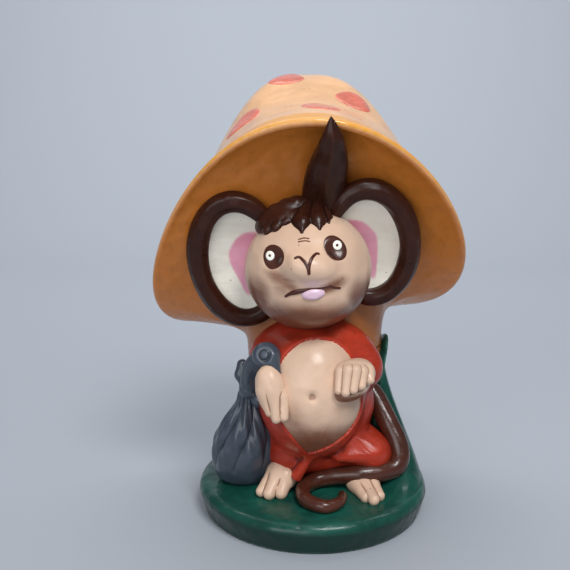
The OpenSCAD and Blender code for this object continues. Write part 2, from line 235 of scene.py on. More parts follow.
def curvature(grid, reach=2):
    """How hollow (+) or ridged (-) each grid point is, per millimetre: twice the height of its
    neighbours' mean over it along the outward normal, over their distance squared."""
    def shifted(by):
        index = np.clip(np.arange(len(grid)) + by, 0, len(grid) - 1)
        return grid[index]
    down, up = shifted(-reach), shifted(reach)
    left, right = np.roll(grid, reach, axis=1), np.roll(grid, -reach, axis=1)
    normal = unit(np.cross(right - left, up - down))
    bend = np.zeros(grid.shape[:2])
    for a, b in ((down, up), (left, right)):
        span = np.maximum(np.sum((b - a) ** 2, axis=-1) / 4.0, 0.04)
        bend += np.sum(((a + b) / 2.0 - grid) * normal, axis=-1) * 2.0 / span
    return bend


def placed(name, data):
    """A new object of the scene that holds a mesh, a light or a camera."""
    if isinstance(data, bpy.types.Mesh):
        data.polygons.foreach_set("use_smooth", np.ones(len(data.polygons), bool))
    made = bpy.data.objects.new(name, data)
    bpy.context.scene.collection.objects.link(made)
    return made


def skin(name, start, rings, finish, **marks):
    """A closed mesh through rings of equal length, with a fan to a point at each end. Each mark is
    a number for every ring point, kept as an attribute; hollow and ridge are always added."""
    rings = np.asarray(rings, float)
    rows, columns = rings.shape[:2]
    points = np.vstack([np.reshape(start, (1, 3)), rings.reshape(-1, 3), np.reshape(finish, (1, 3))])
    i = np.arange(rows - 1)[:, None]
    j = np.arange(columns)[None, :]
    k = (j + 1) % columns
    a = 1 + i * columns
    quads = np.stack([a + j, a + k, a + columns + k, a + columns + j], axis=-1).reshape(-1, 4)
    last = rows * columns + 1
    j, k = j[0], k[0]
    foot = np.stack([np.zeros_like(j), 1 + k, 1 + j], axis=-1)
    head = np.stack([np.full_like(j, last), last - columns + j, last - columns + k], axis=-1)
    corner, side, far = points[quads[:, 0]], points[quads[:, 1]], points[quads[:, 2]]
    other = points[quads[:, 3]]
    inner = corner - points.mean(axis=0)
    volume = np.sum(np.cross(side - corner, far - corner) * inner)
    volume += np.sum(np.cross(far - corner, other - corner) * inner)
    bend = curvature(rings)
    if volume < 0.0:
        quads, foot, head = quads[:, ::-1], foot[:, ::-1], head[:, ::-1]
    else:
        bend = -bend
    mesh = bpy.data.meshes.new(name)
    mesh.from_pydata((points * MM).tolist(), [], quads.tolist() + foot.tolist() + head.tolist())
    marks["hollow"] = ease(0.06, 0.5, -bend)
    marks["ridge"] = ease(0.25, 0.9, bend)
    for mark, values in marks.items():
        values = np.broadcast_to(values, (rows, columns))
        layer = mesh.attributes.new(mark, "FLOAT", "POINT")
        flat = np.concatenate([[values[0].mean()], values.reshape(-1), [values[-1].mean()]])
        layer.data.foreach_set("value", flat.astype(np.float32))
    mesh.update()
    return placed(name, mesh)


def solid(name, field, origin, reach, rows=120, columns=160, pole=(0, -1, 0), crowd=1.0, mark=None):
    """The skin of a field, seen from the origin: one ray for each grid point, marched to its wall.
    mark gives attributes from the points."""
    rays, pole = ball_rays(rows, columns, pole, crowd)
    origin = np.asarray(origin, float)
    rings = origin + rays * march(field, origin, rays, reach)[..., None]
    ends = np.stack([pole, -pole])
    tips = origin + ends * march(field, origin, ends, reach)[..., None]
    marks = mark(rings) if mark else {}
    return skin(name, tips[0], rings, tips[1], **marks)


def tube(name, path, wide, up, tall=None, sides=48, shape=None, **marks):
    """A swept tube whose ends close on a point."""
    rings = sweep(path, wide, up, tall, sides, shape)
    return skin(name, path[0], rings, path[-1], **marks)


def patch(name, lay, lift, sink=0.7, rows=14, columns=64, edge=4.0, **marks):
    """A raised patch on a surface. lay takes a radius from 0 to 1 and an angle, and gives points
    and outward normals on the surface. Its height is lift times 1 - radius to the power edge, and
    its back lies sink under the surface."""
    radius = np.sqrt(np.linspace(0.02, 1.0, rows))
    r, a = np.meshgrid(radius, round_angles(columns), indexing="ij")
    at, out = lay(r, a)
    top = at + out * (lift * (1.0 - r**edge))[..., None]
    under = (at - out * sink)[::-1]
    rings = np.vstack([top, under])
    return skin(name, top[0].mean(axis=0), rings, under[-1].mean(axis=0), **marks)


def finish_piece(piece, material, slot, *nodes):
    """Gives a piece its paint, puts it on the body and hides the CAD nodes that it stands for. slot is not
    used.
    """
    piece.data.materials.append(material)
    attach(piece, BODY)
    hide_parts(*nodes)
    return piece


# ---------------------------------------------------------------------------------------------
# Cap. Angles run round the brim from the front, towards the creature's left.

def brim_height(a):
    """From the back's height to the front's along a power of (1 + cos a) / 2, and lower on the
    creature's right by a power of sin a that fades to the front."""
    forward = (1.0 + np.cos(a)) / 2.0
    rise = forward**1.9
    droop = 0.63 * np.maximum(0.0, -np.sin(a)) ** 1.6 * (1.0 - forward**3.6)
    return mix(BRIM_BACK, BRIM_FRONT, rise) - BRIM_DROOP * droop


def brim(a, inset=0.0):
    """The brim's edge: an ellipse seen from above, at the brim's height."""
    x = BRIM_AT[0] + (BRIM_HALF[0] - inset) * np.sin(a)
    y = BRIM_AT[1] - (BRIM_HALF[1] - inset) * np.cos(a)
    return np.stack([x, y, brim_height(a)], axis=-1)


def cap_top(a, t):
    """From the brim at t 0 to the crown at t 1. The height falls from the crown as a bell,
    r cubed times (3.4 - 2.4 r) with r = 1 - t, as a quarter circle round the back, and as a dome
    on a flatter flare in front."""
    a, t = np.broadcast_arrays(np.asarray(a, float), np.asarray(t, float))
    r = 1.0 - t
    bell = r**3 * (3.4 - 2.4 * r)
    quarter = 1.0 - np.sqrt(np.maximum(0.0, 1.0 - r * r))
    flare = 0.62 * ease(0.0, 0.62, r) + 0.38 * r**2.5
    drop = mix(bell, quarter, ((1.0 - np.cos(a)) / 2.0) ** 3)
    drop = mix(drop, flare, ((1.0 + np.cos(a)) / 2.0) ** 8)
    edge = brim(a, BEAD * (1.0 - t))
    return np.stack([
        mix(CROWN_AT[0], edge[..., 0], r),
        mix(CROWN_AT[1], edge[..., 1], r),
        mix(CROWN_TOP, edge[..., 2], drop),
    ], axis=-1)


def cap_under(a, t):
    """From the bead at t 0 in and down to the neck at t 1: quickly inwards at first, by
    1 - (1 - t) to the power 2.2, and down by t squared, or a lower power on the creature's right
    where it flares sooner, with soft radial waves."""
    a, t = np.broadcast_arrays(np.asarray(a, float), np.asarray(t, float))
    inward = 1.0 - (1.0 - t) ** 2.2
    edge = brim(a, BEAD)
    wave = (0.35 * np.sin(9.0 * a + 1.0) + 0.2 * np.sin(23.0 * a)) * np.sin(np.pi * t)
    power = 2.0 - 0.95 * np.maximum(0.0, -np.sin(a))
    return np.stack([
        mix(edge[..., 0], STALK_AT[0] + STALK_HALF[0] * np.sin(a), inward),
        mix(edge[..., 1], STALK_AT[1] - STALK_HALF[1] * np.cos(a), inward),
        mix(edge[..., 2] - 2.0 * BEAD, NECK, t**power) + wave,
    ], axis=-1)


def cap_bead(a, phi):
    """The rolled edge: a half circle from under the brim, phi -90 degrees, out and over it."""
    centre = brim(a, BEAD) - np.array([0.0, 0.0, BEAD])
    out = np.stack([np.sin(a), -np.cos(a), np.zeros_like(a)], axis=-1)
    up = np.array([0.0, 0.0, 1.0])
    return centre + BEAD * (np.cos(phi) * out + np.sin(phi) * up)


def make_cap(sides=360):
    """The cap in one skin: out along the underside from the neck, round the bead and up the top.
    below is the underside, deep how near the neck it is, which paints shade deeper under the cap, and band
    the bead and 8 mm above it."""
    a = round_angles(sides)
    under = [cap_under(a, t) for t in np.linspace(1.0, 0.0, 70)[:-1]]
    bead = [cap_bead(a, phi) for phi in np.radians(np.linspace(-90.0, 80.0, 16))]
    top = [cap_top(a, t) for t in np.linspace(0.012, 0.985, 90)]
    rings = np.array(under + bead + top)
    deep = np.concatenate([np.linspace(1.0, 0.0, len(under)), np.zeros(len(bead) + len(top))])
    from_edge = np.linalg.norm(rings - brim(a, BEAD), axis=-1)
    on_bead = np.clip((np.arange(len(rings))[:, None] - len(under) - 4.0) / 6.0, 0.0, 1.0)
    band = on_bead * (1.0 - ease(3.5, 8.0, from_edge))
    return skin("cap_shell", (*STALK_AT, NECK), rings, (*CROWN_AT, CROWN_TOP),
                band=band, below=1.0 - on_bead, deep=deep[:, None])


# Each spot: degrees round from the front, and how far up from the brim to the crown.
SPOTS = (
    (40, 0.56), (5, 0.33), (-48, 0.83), (-44, 0.43), (92, 0.36), (-128, 0.66), (128, 0.74),
    (-108, 0.28), (112, 0.22), (178, 0.5), (-152, 0.24), (150, 0.28),
)


def make_spot(number, angle, height, radius, rise):
    """A wavy round patch laid on the cap, with its steps along the brim and up the cap made even."""
    a0 = math.radians(angle)
    step = 0.01
    across = np.linalg.norm(cap_top(a0 + step, height) - cap_top(a0 - step, height)) / (2 * step)
    upward = np.linalg.norm(cap_top(a0, height + step) - cap_top(a0, height - step)) / (2 * step)

    def lay(r, phi):
        wobble = 1.0 + 0.05 * np.sin(3.0 * phi + number) + 0.04 * np.sin(2.0 * phi + 2.0 * number)
        a = a0 + radius * r * wobble * np.cos(phi) / across
        t = np.clip(height + radius * r * wobble * np.sin(phi) / upward, 0.0, 0.97)
        at = cap_top(a, t)
        out = unit(np.cross(cap_top(a + step, t) - at, cap_top(a, t + step) - at))
        return at, out

    return patch(f"crown_spot_{number:02d}", lay, lift=rise, rows=12, columns=56, edge=8.0)


# ---------------------------------------------------------------------------------------------
# Plinth, grass bank and stalk

def bank_swell(a):
    """How much of the bank stands at an angle round the stalk: none in front and on the right."""
    return ease(0.0, 1.0, 1.3 * np.sin(a + math.radians(30.0)) + 0.45)


def bank_top(a):
    """The bank's wavy upper edge."""
    return DECK + 2.0 + (50.0 + 3.2 * np.sin(5.0 * a + math.radians(65.0))) * bank_swell(a)


def stalk_wall(a, out, z):
    """A point out from the stalk's waisted wall. The waist is a half sine, 1.1 deep."""
    waist = 1.1 * np.sin(np.pi * np.clip((z - DECK) / (NECK - DECK), 0.0, 1.0)) - out
    x = STALK_AT[0] + (STALK_HALF[0] - waist) * np.cos(a)
    y = STALK_AT[1] + (STALK_HALF[1] - waist) * np.sin(a)
    return np.stack([x, y, z + 0.0 * a], axis=-1)


def make_base(sides=320):
    """The plinth and the bank in one skin: out along the underside, up the flared side, over the
    rounded edge, across the deck and up the bank to its edge, then down inside. The bank's wall
    goes from the deck's rim to the stalk as a smooth S of its height, and its lip leans out."""
    a = round_angles(sides)
    swell = bank_swell(a)[:, None]
    around = np.stack([np.cos(a), np.sin(a)], axis=-1)
    fillet, foot = 4.0, 1.2
    edge = PLINTH_R - fillet
    rings = []

    def ring(flat, z):
        rings.append(np.column_stack([flat, np.broadcast_to(z, (sides,))]))

    for z in (WALL, 2.0, 0.4):
        ring(DRAIN_R * around, z)
    for radius in (DRAIN_R + 0.4, 20.0, 32.0, FOOT_R - foot):
        ring(radius * around, 0.0)
    for phi in np.radians((-60.0, -30.0, 0.0)):
        ring((FOOT_R - foot + foot * math.cos(phi)) * around, foot + foot * math.sin(phi))
    for t in np.linspace(0.15, 1.0, 7):
        ring(mix(FOOT_R, PLINTH_R, t) * around, mix(foot, DECK - fillet, t))
    for t in np.linspace(0.12, 1.0, 9):
        phi = math.radians(86.0) * t
        rounded = edge + fillet * math.cos(phi)
        straight = PLINTH_R - 1.6 * t
        ring(mix(rounded, straight, swell) * around, DECK - fillet + fillet * math.sin(phi))
    rim, low = rings[-1][:, :2], rings[-1][:, 2]
    top = bank_top(a)
    wall = stalk_wall(a, 1.2, top)[:, :2]
    for t in np.linspace(0.0, 1.0, 60)[1:]:
        inward = mix(ease(0.0, 0.9, t), 1.0 - (1.0 - t) ** 2.2, 0.45)
        lean = 1.9 * math.exp(-(((1.0 - t) / 0.12) ** 2))
        ring(mix(rim, wall, inward) + lean * swell * around, mix(low, top, t))
    lip = rings[-1]
    inner = stalk_wall(a, -0.4, top - 4.0)
    for t in (0.12, 0.3, 0.55, 0.8, 1.0):
        bow = np.array([0.0, 0.0, 1.6 * math.sin(math.pi * min(1.0, t * 1.25)) * (1.0 - t)])
        rings.append(mix(lip, inner, t) + bow)
    # Painted shade: the plinth's side, below the deck's rounded edge, is painted darker.
    shade = ease(DECK - 1.0, DECK - 5.0, np.array(rings)[..., 2])
    return skin("plinth_and_bank", (0.0, 0.0, WALL), rings, (*STALK_AT, DECK + 1.0), shade=shade)


def make_stalk(sides=200):
    """The column between the deck and the cap, whose top end is hidden in the cap."""
    a = round_angles(sides)
    rings = [stalk_wall(a, 0.0, z) for z in np.linspace(DECK, NECK + 2.0, 60)]
    return skin("stalk_column", (*STALK_AT, DECK), rings, (*STALK_AT, NECK + 2.0))


# ---------------------------------------------------------------------------------------------
# Body

def belly_field(p):
    """An egg with the navel's dimple."""
    body = blob(p, BELLY_AT, (20.0, 19.4, 25.3))
    navel = rod(p, (-1.4, -40.6, 56.0), (-1.6, -36.2, 57.2), 0.7, 0.6)
    return carve(body, navel, 3.2)


def belly_window(p):
    """Below 0 inside the robe's opening, seen from the front. It is an egg: nearly half an ellipse
    above its widest level, and below it a bow that narrows to a point, swung to the left side."""
    x, z = p[..., 0], p[..., 2]
    level, top, tip = 52.0, 76.8, 32.4
    rise = np.clip((z - level) / (top - level), 0.0, 1.0)
    fall = np.clip((level - z) / (level - tip), 0.0, 1.0)
    bow = np.minimum((1.0 - rise**2.3) ** 0.5, (1.0 - fall**1.5) ** 0.85)
    middle = 0.5 - 2.9 * fall**3 + 1.7 * np.sin(np.pi * fall)
    beyond = np.maximum(z - top, 0.0) + np.maximum(tip - z, 0.0)
    return 0.75 * (np.abs(x - middle) - 16.8 * bow) + beyond


def robe_field(p):
    """Chest, waist, lap and knee, then the left knee, the sleeve and the hem's folds, with grooves
    above the knee and at the sleeve. It is opened over the belly and cut off at the hem."""
    trunk = joined([
        blob(p, (-0.5, -9.0, 64.0), (25.5, 16.5, 17.5)),
        blob(p, (0.5, -7.5, 46.0), (24.0, 15.0, 22.0)),
        blob(p, (3.5, -3.0, 26.0), (24.5, 14.5, 13.0)),
        blob(p, (-8.4, -12.0, 26.4), (9.6, 10.5, 8.6)),
    ], 6.0)
    trunk = join(trunk, blob(p, (23.0, -9.0, 24.5), (9.2, 9.2, 8.2)), 5.0)
    trunk = join(trunk, blob(p, (21.4, -14.0, 61.5), (5.2, 6.4, 6.4)), 5.0)
    trunk = join(trunk, rod(p, (-0.5, -25.5, 31.5), (-7.4, -22.8, 19.5), 1.0, 2.2), 3.0)
    trunk = join(trunk, rod(p, (10.0, -20.0, 27.5), (24.0, -15.5, 27.0), 2.2, 3.2), 5.0)
    trunk = carve(trunk, blob(p, (17.5, -27.0, 41.0), (4.0, 9.0, 13.0), (0, 10, 0)), 6.0)
    trunk = carve(trunk, rod(p, (12.0, -30.0, 68.5), (24.5, -23.5, 71.5), 0.8, 1.2), 3.0)
    over_belly = blob(p, BELLY_AT, (21.0, 20.2, 26.3))
    cloth = join(trunk, over_belly, 3.0)
    opened = carve(cloth, belly_window(p), 1.1)
    inside = blob(p, BELLY_AT, (18.0, 17.2, 23.5))
    hem = 12.8 + 6.2 * ease(-11.0, -17.0, p[..., 1]) + 3.0 * ease(-6.0, -12.0, p[..., 0]) - p[..., 2]
    return np.maximum(np.minimum(opened, inside), 0.8 * hem)


def make_robe():
    return solid("robe_cloth", robe_field, (1.0, -7.0, 44.0), 60.0, 230, 330, pole=(0, 0.15, 1))


def make_belly():
    """Its shade mark is painted shade, partly real brown airbrush: low down, beside the right hand and under
    the left.
    """
    def mark(rings):
        x, z = rings[..., 0], rings[..., 2]
        # Painted shade: darker low down, and painted shadow beside the right hand and under the left.
        low = 1.0 - ease(32.0, 56.0, z + 0.12 * np.abs(x))
        beside = np.exp(-(((x + 8.5) / 4.0) ** 2 + ((z - 51.0) / 7.0) ** 2)) * 0.35
        palm = np.exp(-(((x - 12.0) / 7.0) ** 2 + ((z - 52.5) / 3.0) ** 2)) * 0.4
        return {"shade": np.clip(1.05 * low + beside + palm, 0.0, 1.0)}
    return solid("belly_skin", belly_field, BELLY_AT, 40.0, 150, 200, crowd=1.15, mark=mark)


# ---------------------------------------------------------------------------------------------
# Head and face

# Strokes of the face, as (x, z) seen from the front.
MOUTH = (
    (-11.6, 94.4), (-9.6, 95.8), (-6.6, 96.9), (-2.9, 97.7),
    (1.8, 98.3), (4.2, 98.7), (6.1, 97.9), (8.4, 97.5),
)
NOSE_RIGHT = ((-8.3, 108.7), (-6.5, 109.2), (-4.7, 107.8), (-3.5, 105.7), (-3.15, 103.4))
NOSE_LEFT = ((0.6, 110.1), (-0.9, 110.1), (-2.5, 108.5), (-3.25, 106.0), (-3.2, 104.2))
BROW_LINES = (
    ((-6.9, 114.6), (-4.8, 115.1), (-2.8, 114.9)), ((-7.0, 113.8), (-4.6, 114.2), (-2.6, 114.0)),
)


def head_field(p):
    """Skull, muzzle, lower lip and chin, with a hollow for each eye and a groove for the mouth."""
    skull = blob(p, HEAD_AT, HEAD_HALF)
    muzzle = blob(p, (-2.7, -33.6, 105.0), (9.8, 8.0, 6.4), (0, HEAD_LEAN, 0))
    lip = blob(p, (-1.6, -33.0, 99.4), (9.0, 4.4, 2.4), (0, -HEAD_LEAN, 0))
    chin = blob(p, (-1.2, -29.4, 90.4), (9.0, 6.2, 6.0))
    face = join(skull, muzzle, 3.0)
    face = join(face, lip, 2.6)
    face = join(face, chin, 7.0)
    for x, z in ((-16.0, 108.8), (6.3, 112.2)):
        at = on_skull(x, z, 2.6)
        face = carve(face, blob(p, at, (4.6, 3.2, 5.2)), 2.0)
    points = [(x, -39.6, z) for x, z in MOUTH]
    for a, b in zip(points, points[1:]):
        face = carve(face, rod(p, a, b, 0.5, 0.5), 1.6)
    return face


def on_skull(x, z, out):
    """The point of the head's egg in front of (x, z), moved out along the way from its centre."""
    dx, dz = (x - HEAD_AT[0]) / HEAD_HALF[0], (z - HEAD_AT[2]) / HEAD_HALF[2]
    y = HEAD_AT[1] - HEAD_HALF[1] * math.sqrt(max(0.02, 1.0 - dx * dx - dz * dz))
    at = np.array([x, y, z])
    return at + out * unit(at - HEAD_AT)


def on_face(x, z, out=0.0, field=head_field):
    """The points of the face straight behind (x, z), moved out along its slope, and the slope. It
    starts well in front and steps back by a share of the field's own value until it settles."""
    steps, pace, front = 60, 0.8, -60.0
    at = np.stack([x, np.full_like(x, front), z], axis=-1)
    for _ in range(steps):
        at[..., 1] += pace * field(at)
    way = slope(field, at)
    return at + out * way, way


def make_head():
    """Its shade mark is painted shade, partly real brown airbrush: a crescent round the muzzle's underside,
    over the lower cheeks and the chin, down the sides of the face and beside the nose. Pink lies between the
    muzzle and the mouth."""
    def mark(rings):
        def puff(at_x, at_z, wide, tall):
            return np.exp(-(((x - at_x) / wide) ** 2 + ((z - at_z) / tall) ** 2))

        x, y, z = rings[..., 0], rings[..., 1], rings[..., 2]
        # Painted shade, partly real brown airbrush: under the muzzle, on the lower cheeks, the chin, the
        # sides of the face and beside the nose.
        front = ease(-24.0, -30.0, y)
        across, up = x + 2.7, z - 105.2
        ring = np.hypot(across / 10.4, up / 6.8)
        crescent = 0.72 * np.exp(-(((ring - 1.20) / 0.42) ** 2)) * front
        crescent = crescent * ease(1.0, -5.5, up + 0.10 * across)
        crescent = crescent * (0.35 + 0.65 * ease(1.5, 6.0, np.abs(across + 0.6)))
        cheek = puff(-12.0, 98.0, 4.2, 5.0) * 0.6 * front
        chin = 1.05 * ease(99.5, 84.0, z + 0.10 * np.abs(across + 2.0))
        side = ease(10.0, 18.0, np.abs(across)) * ease(107.0, 91.0, z) * 0.85
        nose = puff(-10.4, 108.0, 2.0, 3.4) * 0.32 + puff(2.6, 107.4, 2.0, 3.0) * 0.16
        pink = puff(-1.6, 99.9, 4.0, 1.5) * front
        shade = np.maximum.reduce([crescent, cheek, chin, side]) + nose - 0.5 * pink
        return {"shade": np.clip(shade, 0.0, 1.0), "pink": pink}
    return solid("head_skin", head_field, HEAD_AT, 45.0, 240, 380, crowd=1.35, mark=mark)


def make_eye_patch(name, x, z, wide, tall, lean, lift=0.55, rest=0.0, egg=0.0):
    """A patch on the face, leaning by lean degrees, and rest above it."""
    turn = math.radians(lean)

    def lay(r, phi):
        grow = 1.0 + egg * np.sin(phi)
        across, up = wide * r * np.cos(phi) * grow, tall * r * np.sin(phi)
        px = x + across * math.cos(turn) - up * math.sin(turn)
        pz = z + across * math.sin(turn) + up * math.cos(turn)
        return on_face(px, pz, rest)

    return patch(name, lay, lift, sink=0.5 + rest, rows=14, columns=60, edge=5.0)


def make_face_line(name, points, half_wide, half_tall, count=60, out=0.06, swell=None):
    """A tube laid on the face. swell is how far along it is thickest and how much it gains."""
    flat = smooth_path([(x, 0.0, z) for x, z in points], count)
    at, _ = on_face(flat[:, 0], flat[:, 2], out)
    wide = np.full(count, half_wide)
    if swell:
        s = np.linspace(0.0, 1.0, count)
        wide = wide * (0.7 + swell[1] * np.exp(-(((s - swell[0]) / 0.17) ** 2)))
    wide = round_ends(at, wide)
    return tube(name, at, wide, (0, -1, 0), wide * half_tall / half_wide, sides=20)


# ---------------------------------------------------------------------------------------------
# Ears and hair

def on_ear(points, at, tall=1.0):
    """Points given in an ear's own frame, x across, y back and z up by tall times, put in place."""
    return turned(points * (1.0, 1.0, tall), (EAR_TILT, -HEAD_LEAN, 0.0)) + at


def ear_bowl(r, phi, back=0.0):
    """An oval bowl whose floor is a paraboloid, deeper low down, with a raised rim."""
    x, z = r * EAR_HALF[0] * np.cos(phi), r * EAR_HALF[1] * np.sin(phi)
    deep = (1.0 - r * r) * (4.2 - 1.4 * np.sin(phi) * r)
    rim = 0.9 * np.exp(-(((r - 0.97) / 0.07) ** 2))
    return np.stack([x, deep - rim + back, z], axis=-1)


def make_ear(name, at, pink_at, pink_half, pink_turn, tall=1.0):
    """The bowl, front and back. Its pink mark is an egg that is round above, pointed below, leans by
    pink_turn degrees and fades at its edge. deep is the egg's top end."""
    radii = np.linspace(0.04, 1.0, 44)
    r, a = np.meshgrid(radii, round_angles(150), indexing="ij")
    front = ear_bowl(r, a)
    back = ear_bowl(r, a, 2.6)[::-1]
    rings = np.vstack([front, back])
    turn = math.radians(pink_turn)
    dx, dz = rings[..., 0] - pink_at[0], rings[..., 2] - pink_at[1]
    u = (dx * math.cos(turn) + dz * math.sin(turn)) / pink_half[0]
    v = (dz * math.cos(turn) - dx * math.sin(turn)) / pink_half[1]
    narrow = 1.0 - 0.62 * ease(0.3, -1.1, v)
    far = np.hypot(u / narrow, v)
    pink = 1.0 - ease(0.78, 1.14, far)
    deep = pink * ease(0.25, 0.95, v)
    ends = on_ear(np.array([[0.0, 4.2, 0.0], [0.0, 6.8, 0.0]]), at)
    return skin(name, ends[0], on_ear(rings, at, tall), ends[1], pink=pink, deep=deep)


def make_hair_roll(name, at, first, last, thick, tall=1.0):
    """A tube along an ear's rim, from one angle to another, thin where it starts."""
    a = np.radians(np.linspace(first, last, 150))
    x = (EAR_HALF[0] - 0.6) * np.cos(a)
    z = (EAR_HALF[1] - 0.2) * np.sin(a)
    path = on_ear(np.stack([x, np.full_like(a, 0.2), z], axis=-1), at, tall)
    s = np.linspace(0.0, 1.0, 150)
    wide = thick * (0.72 + 0.28 * np.sin(np.pi * s) ** 0.6) * (0.62 + 0.38 * ease(0.0, 0.16, s))

    def strands(phi, along):
        fine = 0.022 * np.sin(7.0 * phi + 5.0 * along)
        return 1.0 + fine + 0.02 * np.sin(9.0 * np.pi * along + 2.0 * phi)

    up = turned(np.array([0.0, 1.0, 0.0]), (EAR_TILT, -HEAD_LEAN, 0.0))
    return tube(name, path, round_ends(path, wide, 1.2), up, sides=72, shape=strands)


# Each lock of the fringe: where it starts near the crown, its tip on the forehead, as (x, z) seen
# from the front, its radius at the start, half way and at the tip, and how far it bows sideways.
LOCKS = (
    ((-15.0, 123.0), (-20.0, 117.4), 4.6, 4.4, 2.8, 0.0),
    ((-11.0, 125.0), (-17.6, 116.8), 4.6, 4.6, 2.2, 0.0),
    ((-7.5, 126.4), (-14.6, 118.0), 4.2, 4.2, 2.2, -0.6),
    ((-5.0, 127.0), (-11.2, 119.9), 3.4, 3.4, 1.8, -0.6),
    ((-2.8, 127.4), (-5.5, 117.0), 2.9, 3.3, 0.7, -0.9),
    ((0.0, 127.4), (0.9, 118.0), 2.9, 3.3, 0.7, -0.3),
    ((3.0, 126.6), (4.3, 119.9), 2.2, 2.0, 0.7, 0.2),
)


def over_skull(x, z, out):
    """As on_skull, but past the skull's outline it keeps to its top edge."""
    dx = (x - HEAD_AT[0]) / HEAD_HALF[0]
    limit = HEAD_AT[2] + HEAD_HALF[2] * math.sqrt(max(0.05, 0.93 - dx * dx))
    at = on_skull(x, min(z, limit), out)
    return at + np.array([0.0, 0.5, 1.0]) * max(0.0, z - limit)


def fringe_field(p):
    """A cap of hair on the skull, with two rods for each lock, bent at its knee."""
    hair = blob(p, (-8.2, -13.0, 119.0), (14.0, 13.0, 8.4), (0, -HEAD_LEAN, 0))
    for root, tip, first, middle, last, bow in LOCKS:
        start = over_skull(*root, -1.4)
        knee = over_skull(mix(root[0], tip[0], 0.68) + bow, mix(root[1], tip[1], 0.68), -1.2)
        end = on_skull(*tip, -0.2)
        lock = join(rod(p, start, knee, first, middle), rod(p, knee, end, middle, last), 2.0)
        hair = join(hair, lock, 0.5)
    return hair


def make_fringe():
    return solid("fringe_locks", fringe_field, (-5.0, -16.0, 116.0), 34.0, 190, 300, pole=(0, -1, 0.3))


def make_topknot():
    """A leaf-shaped tuft that leans out over the cap's edge. Its width swells and closes as a sine,
    with a narrow rib in front."""
    path = smooth_path([
        (0.6, -14.5, 123.0), (2.2, -17.0, 129.5), (3.4, -22.0, 136.5), (4.4, -28.5, 143.0),
        (4.5, CAP_LOW[1] + 0.2, 149.6), (3.9, CAP_LOW[1] - 2.4, 157.0),
    ], 130)
    s = np.linspace(0.0, 1.0, 130)
    wide = 7.7 * np.sin(np.pi * (0.27 + 0.73 * s)) ** 0.8
    wide = np.maximum(wide, 0.25)

    def rib(phi, along):
        front = np.abs((phi + np.pi / 2.0 + np.pi) % (2.0 * np.pi) - np.pi)
        rib_high = 0.10 * np.exp(-((front / 0.16) ** 2)) + 0.07 * np.exp(-((front / 0.7) ** 2))
        return 1.0 + rib_high * ease(0.15, 0.6, along) + 0.008 * np.sin(11.0 * phi)

    return tube("topknot_tuft", path, wide, (0, 1, 0), wide * 0.66, sides=96, shape=rib)


# ---------------------------------------------------------------------------------------------
# Hands and feet. Each is a palm or instep with rods for its fingers or toes.

def limb_field(lumps, fingers, soft, finger_soft):
    """The field of lumps (place, half sizes, tilt) and fingers (two ends and their radii). soft
    rounds where fingers meet lumps, and finger_soft where they meet each other."""
    def field(p):
        palm = joined([blob(p, at, half, tilt) for at, half, tilt in lumps], 4.0)
        digits = joined([rod(p, a, b, ra, rb) for a, b, ra, rb in fingers], finger_soft)
        return join(palm, digits, soft)
    return field


RIGHT_HAND = limb_field(
    (((-18.0, -30.0, 62.6), (4.4, 4.2, 5.2), (0, 20, 0)),
     ((-16.2, -31.6, 57.6), (5.0, 4.2, 6.6), (6, 12, 0))),
    (((-19.4, -32.2, 58.0), (-17.0, -34.2, 51.0), 2.3, 1.9),
     ((-15.6, -33.6, 58.0), (-14.7, -35.8, 49.0), 2.3, 1.9),
     ((-12.2, -33.4, 56.5), (-11.9, -35.6, 49.6), 2.1, 1.8)),
    2.4, 0.35)
LEFT_HAND = limb_field(
    (((16.6, -28.6, 64.4), (5.6, 5.4, 5.2), (0, 24, 0)),
     ((12.2, -31.4, 64.6), (6.0, 4.4, 4.8), (0, 18, 0)),
     ((11.8, -32.4, 58.4), (6.6, 3.8, 3.9), (0, -14, 0))),
    (((8.6, -34.0, 66.4), (8.0, -36.8, 60.2), 1.8, 1.6),
     ((11.4, -35.0, 67.2), (10.4, -37.8, 59.8), 1.9, 1.7),
     ((14.2, -34.8, 67.0), (13.2, -37.6, 60.8), 1.9, 1.7),
     ((17.0, -33.6, 66.2), (16.2, -36.4, 61.8), 1.8, 1.6),
     ((19.2, -31.4, 66.6), (19.5, -34.4, 63.4), 1.9, 1.7)),
    1.6, 0.3)
RIGHT_FOOT = limb_field(
    (((-12.0, -16.0, 18.6), (6.4, 8.0, 6.4), (0, -10, 0)),),
    (((-15.6, -17.0, 19.6), (-20.8, -24.0, 14.6), 3.0, 2.1),
     ((-13.0, -17.5, 21.4), (-17.6, -26.0, 14.6), 3.4, 2.4),
     ((-9.8, -17.5, 21.4), (-13.0, -25.6, 14.8), 3.2, 2.5)),
    2.2, 0.4)
LEFT_FOOT = limb_field(
    (((19.6, -17.0, 15.0), (6.4, 6.5, 4.0), (0, 0, 0)),),
    (((16.2, -19.0, 15.4), (19.6, -27.4, 13.8), 2.8, 2.1),
     ((19.4, -19.5, 16.0), (22.6, -29.4, 13.8), 2.9, 2.2),
     ((22.8, -19.0, 15.8), (25.0, -26.4, 14.0), 2.8, 2.2)),
    2.2, 0.4)


def standing(field):
    """A field cut off flat at the deck."""
    return lambda p: np.maximum(field(p), DECK - p[..., 2])


# ---------------------------------------------------------------------------------------------
# Tail and sack

# The tail's path, from behind the robe.
TAIL = (
    (21, 4, 50), (25, 1.5, 46), (28.3, -1.8, 40.5), (31.4, -5.6, 34.6), (34.1, -9, 29), (34.9, -11.4, 24.2),
    (33.4, -13.4, 20.8), (30, -15, 19.5), (25.4, -16.8, 19.2), (20.4, -17.8, 19.2), (14.6, -17.4, 18.7),
    (7.6, -16.3, 17.5), (0.8, -17.4, 16.3), (-3.3, -21.4, 15.7), (-4.6, -26.6, 15.3), (-2.9, -32.7, 15),
    (3.2, -36.6, 14.7), (8.2, -33.6, 14.3), (10.5, -28, 13.9), (10.8, -23, 13.5),
)


